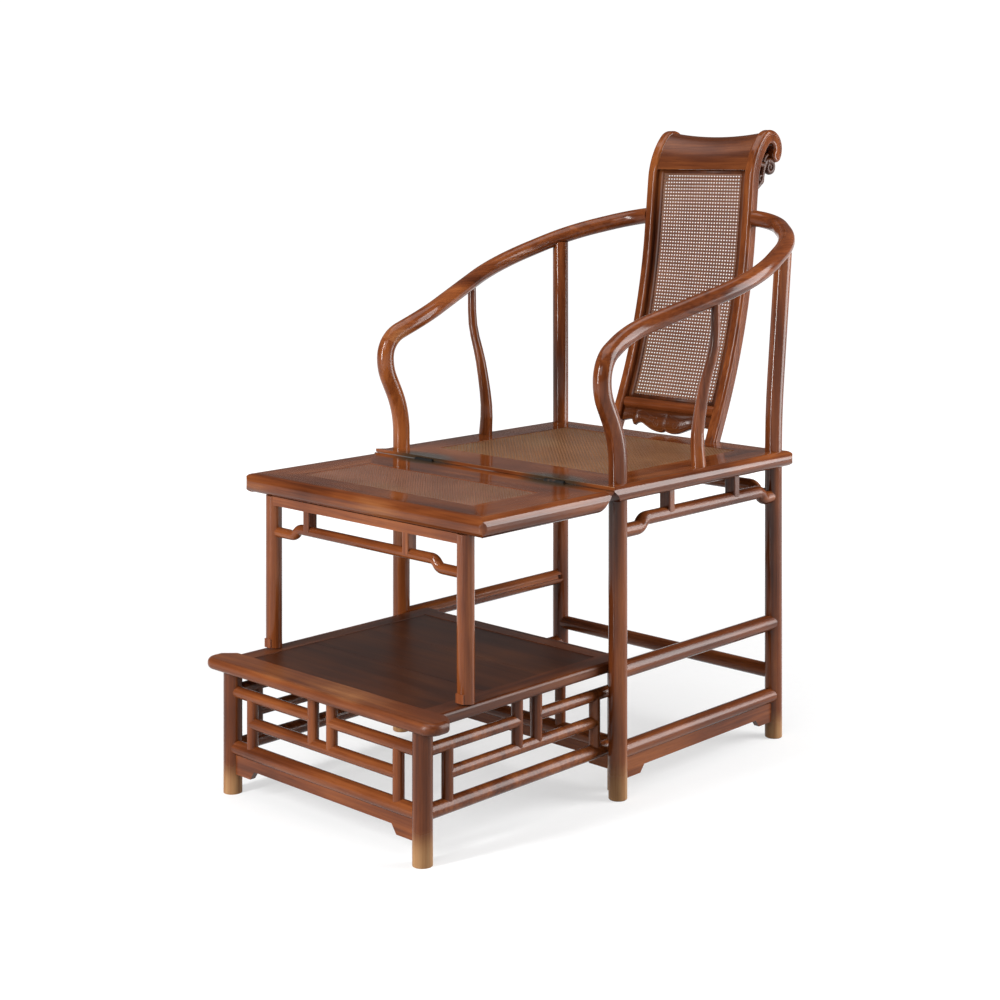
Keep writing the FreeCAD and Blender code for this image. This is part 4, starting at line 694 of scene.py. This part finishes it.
face_off = apron_thick / 2 - 0.0004
carving = [apron_board(lower_edge, apron_top, apron_thick)]
carving.append(carved_rod([(x, z + 0.0013) for x, z in lower_edge], 0.0011, 0.0011, face_off))
for way in (-1, 1):
    branch = smooth_line([(0.004, 0.535), (0.016, 0.529), (0.030, 0.5275), (0.042, 0.531), (0.056, 0.5355),
                          (0.072, 0.5335), (0.088, 0.5275)], 4)
    carving.append(carved_rod([(way * x, z) for x, z in branch], 0.0013, 0.0007, face_off))
    first_curl = curl(way * 0.022, 0.5185, 0.0085, 1.6, math.pi / 2, -way)
    carving.append(carved_rod(first_curl, 0.0013, 0.0006, face_off))
    second_curl = curl(way * 0.043, 0.5215, 0.0065, 1.4, math.pi / 2, way)
    carving.append(carved_rod(second_curl, 0.0012, 0.0006, face_off))
    third_curl = curl(way * 0.063, 0.5265, 0.0050, 1.3, math.pi / 2, -way)
    carving.append(carved_rod(third_curl, 0.0011, 0.0005, face_off))
    last_curl = curl(way * 0.089, 0.5265, 0.0042, 1.3, math.pi, way)
    carving.append(carved_rod(last_curl, 0.0010, 0.0005, face_off))
    for leaf in range(3):
        tip_x = way * (0.0045 + 0.0035 * leaf)
        carving.append(carved_rod([(way * 0.002, 0.532 - 0.004 * leaf), (tip_x * 0.6, 0.5275 - 0.004 * leaf),
                                   (tip_x, 0.5215 - 0.0035 * leaf)], 0.0010, 0.0004, face_off))
carved_wood = hardwood("carved apron", "x", shade=0.55, gloss=0.22)
carved_apron = mesh_piece("back_apron_carved", carving, carved_wood, "chair")
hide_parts("back_apron")


# Carved brackets behind the scrolls: dark openwork leaves, each with a stem down the rear of the stile,
# a rolled bud under the scroll and two smaller curls below it.
bracket_low, bracket_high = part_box("scroll_brackets")
stile_rear = bracket_low.y
bracket_x = bracket_high.x - 0.006


def bracket_curl(x, centre_y, centre_z, radius, turns, start_turn, way):
    """Points of a spiral in an upright plane from front to rear."""
    return [Vector((x, y, z)) for y, z in curl(centre_y, centre_z, radius, turns, start_turn, way)]


def upright_line(x, stations):
    return [Vector((x, y, z)) for y, z in smooth_line(stations, 4)]


def tapered(points, start, end):
    last = len(points) - 1
    return [start + (end - start) * index / last for index in range(last + 1)]


bracket_shells = []
for side in (-1, 1):
    x = side * bracket_x
    foot_y = stile_rear + 0.002
    stem = upright_line(x, [(foot_y - 0.004, 0.9525), (foot_y + 0.005, 0.959), (foot_y + 0.0165, 0.970),
                            (foot_y + 0.019, 0.984), (foot_y + 0.022, 0.996), (foot_y + 0.030, 1.008)])
    bracket_shells.append(rod(stem, tapered(stem, 0.0040, 0.0072), 1.1))
    bud = bracket_curl(x, stile_rear + 0.043, 0.9945, 0.0135, 1.6, math.pi * 0.8, -1)
    bracket_shells.append(rod(bud, tapered(bud, 0.0066, 0.0036), 1.25))
    low_curl = bracket_curl(x, stile_rear + 0.0145, 0.9735, 0.0085, 1.3, math.pi * 1.5, 1)
    bracket_shells.append(rod(low_curl, tapered(low_curl, 0.0044, 0.0026), 1.3))
    arm = upright_line(x, [(foot_y, 1.003), (foot_y + 0.012, 1.0005), (foot_y + 0.026, 0.9985)])
    bracket_shells.append(rod(arm, tapered(arm, 0.0058, 0.0062), 1.2))
    leaf = upright_line(x, [(foot_y + 0.022, 1.004), (foot_y + 0.0285, 1.013), (foot_y + 0.037, 1.0185)])
    bracket_shells.append(rod(leaf, tapered(leaf, 0.0052, 0.0032), 1.2))
brackets = mesh_piece("scroll_brackets_carved", bracket_shells,
                      hardwood("carved brackets", "z", shade=0.34, gloss=0.32), "chair")
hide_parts("scroll_brackets")


# Hinges: forged iron leaves and pins, let into the joint under the leg rest and its folding frame.
# They have blackened, with rust in the pits.
iron = Finish("blackened iron")
mottle = iron.place.noise((120, 120, 120), 4.0)
rust = mottle.fade(0.55, 0.75)
iron.give(rust.mixed((0.022, 0.021, 0.020, 1), (0.060, 0.028, 0.014, 1)), 0.45 + mottle * 0.3, mottle, 0.0004)
iron.tree.links.new((0.9 - rust * 0.6).socket, iron.shader.inputs["Metallic"])
dress(iron.material, "seat_hinge_leaves", "seat_hinge_pins", "rest_hinge_leaves",
      "frame_hinge_plates", "frame_hinge_leaves", "frame_hinge_pins")


# Leg rest: a smaller frame like the seat's, hinged to its front, with a redder and finer cane panel.
# Its front edge is rubbed paler in places.
rest_front_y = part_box("leg_rest_rail_front")[0].y
rubbed_edge = 0.02


def edge_wear(x, y, z):
    """Slight wear along the front edge of the leg rest."""
    return 0.28 - (y - rest_front_y).fade(0.0, rubbed_edge) * 0.5


dress(hardwood("leg rest rear rail", "x", shade=1.05, stain=hinge_stain), "leg_rest_rail_rear")
dress(hardwood("leg rest front rail", "x", shade=0.88, worn=edge_wear), "leg_rest_rail_front")
dress(hardwood("leg rest side rails", "y", shade=1.05), "leg_rest_rail_left", "leg_rest_rail_right")
red_cane = cane("reddish leg rest cane", (0.235, 0.104, 0.062), (0.115, 0.046, 0.026), 0.36)
rest_panel = close_cane("leg_rest_cane_panel", "leg_rest_cane", 0.0028, red_cane)
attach(rest_panel, "leg_rest")
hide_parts("leg_rest_cane")


# Folding frame: two round legs, a top rail and a humpback with two struts, under the leg rest.
# Small blocks fill the notched feet, a little paler and duller.
dress(hardwood("folding frame legs", "z", shade=1.0), "frame_leg_left", "frame_leg_right", "frame_struts")
dress(hardwood("folding frame rails", "x", shade=1.0), "frame_top_rail", "frame_humpback")
dress(hardwood("foot blocks", "z", shade=1.2, gloss=0.4), "foot_blocks")


# Footstool: legs, rails and lattice of the same wood with worn feet, round three duller boards. The boards,
# side rails and rear rail are painted darker, partly their own darker wood and partly painted shade of the
# leg rest above.
# Feet have rubbed the front rail.
dress(hardwood("footstool legs", "z", shade=0.86, gloss=0.22, worn=foot_wear), "stool_legs")
dress(hardwood("footstool struts", "z", gloss=0.22), "stool_struts")
dress(hardwood("footstool lattice", "x", gloss=0.22),
      "stool_bottom_rails", "stool_lattice_rails", "stool_aprons")
# Painted darker: partly the wood's own tone, partly painted shade from the leg rest above.
dress(hardwood("footstool rear rail with painted shade", "x", shade=0.66, gloss=0.34), "stool_rear_rail")
tread_low_z = 0.205
tread_high_z = 0.215


def tread_wear(x, y, z):
    """Wear on top of the front rail, most in the middle where feet rest."""
    return z.fade(tread_low_z, tread_high_z) * 0.45 - x.math("ABSOLUTE", x).fade(0.05, 0.22) * 0.15


dress(hardwood("footstool front rail", "x", shade=0.9, gloss=0.34, worn=tread_wear), "stool_front_rail")
# Painted darker: partly the wood's own tone, partly painted shade from the leg rest above.
dress(hardwood("footstool side rails with painted shade", "y", shade=0.66, gloss=0.34),
      "stool_side_rails", "stool_guide_tongues")
# Painted much darker: partly the boards' own tone, partly painted shade from the leg rest above.
dress(hardwood("footstool boards with painted shade", "x", shade=0.35, gloss=0.36), "stool_boards")


# Studio: pale floor and a far white wall, a large soft light overhead, two tall ones to the left and the
# right that draw light lines on the round bars, a fill from the front, and the camera of the photograph.
scene = bpy.context.scene
scene.view_settings.view_transform = "Standard"


def white_ground(name, corners, paint, lit_share, thrown_back):
    """Flat ground or wall, white away from the chair's shadow, that throws back a set share of light."""
    mesh = bpy.data.meshes.new(name)
    mesh.from_pydata(corners, [], [(0, 1, 2, 3)])
    made = place_piece(name, mesh)
    finish = Finish(name)
    paths = finish.tree.nodes.new("ShaderNodeLightPath")
    seen = sum(Tone(finish.tree, paths.outputs[kind])
               for kind in ("Is Camera Ray", "Is Glossy Ray", "Is Transmission Ray"))
    shown = seen.math("MINIMUM", seen, 1.0)
    x, y = finish.place.axes()[:2]
    away = x.math("SQRT", x * x + y * y).fade(0.8, 2.6)
    glow = shown * (1 - lit_share + away * lit_share)
    speckle = finish.place.noise((60, 60, 60), 2.0)
    painted = speckle.mixed((*(paint - 0.01,) * 3, 1), (*(paint + 0.01,) * 3, 1))
    finish.give(shown.mixed((*(thrown_back,) * 3, 1), painted), 0.9 + speckle * 0.05, speckle, 0.0002, 0.02)
    grey = Tone.node(finish.tree, "ShaderNodeCombineColor", {}, {0: glow, 1: glow, 2: glow})
    finish.tree.links.new(grey.socket, finish.shader.inputs["Emission Color"])
    finish.shader.inputs["Emission Strength"].default_value = 1.0
    finish.shader.inputs["Specular IOR Level"].default_value = 0.0
    mesh.materials.append(finish.material)


reach = 90.0
wall_top = 6.6
white_ground("floor", [(-reach, -reach, 0), (reach, -reach, 0), (reach, reach, 0), (-reach, reach, 0)],
             paint=0.39, lit_share=0.42, thrown_back=0.2)
view_turn = math.radians(43.554)
ahead = Vector((-math.sin(view_turn), math.cos(view_turn), 0))
beside = Vector((math.cos(view_turn), math.sin(view_turn), 0))
wall_away = 60
wall_foot = [ahead * wall_away - beside * wall_away, ahead * wall_away + beside * wall_away]
white_ground("far_wall", [*wall_foot, *[foot + Vector((0, 0, wall_top)) for foot in reversed(wall_foot)]],
             paint=0.8, lit_share=0.0, thrown_back=0.8)

world = bpy.data.worlds.new("studio")
scene.world = world
world.use_nodes = True
world.node_tree.nodes["Background"].inputs["Color"].default_value = (1, 1, 1, 1)
world.node_tree.nodes["Background"].inputs["Strength"].default_value = 0.13


def soft_light(name, place, aim, size, power):
    lamp = bpy.data.lights.new(name, "AREA")
    lamp.shape = "RECTANGLE"
    lamp.size, lamp.size_y = size
    lamp.energy = power
    made = bpy.data.objects.new(name, lamp)
    made.location = place
    made.rotation_euler = (Vector(aim) - Vector(place)).to_track_quat("-Z", "Y").to_euler()
    scene.collection.objects.link(made)


soft_light("overhead", place=(-0.2, -0.2, 3.1), aim=(0, 0, 0.4), size=(2.4, 2.4), power=48)
soft_light("tall_left", place=(-0.35, -2.75, 1.25), aim=(0, 0, 0.6), size=(0.35, 2.3), power=104)
soft_light("tall_right", place=(1.95, 1.60, 1.2), aim=(0, 0, 0.6), size=(1.5, 2.3), power=110)
soft_light("front_fill", place=(1.2, -3.6, 2.4), aim=(0, 0, 0.5), size=(2.0, 1.6), power=38)

camera_data = bpy.data.cameras.new("camera")
camera_data.sensor_width = 36
camera_data.lens = 65.4
camera_data.shift_y = -0.3455
camera_data.clip_end = 200
camera = bpy.data.objects.new("camera", camera_data)
camera.location = (2.093, -2.3143, 1.0186)
camera.rotation_euler = (math.radians(90), 0, view_turn)
scene.collection.objects.link(camera)
scene.camera = camera
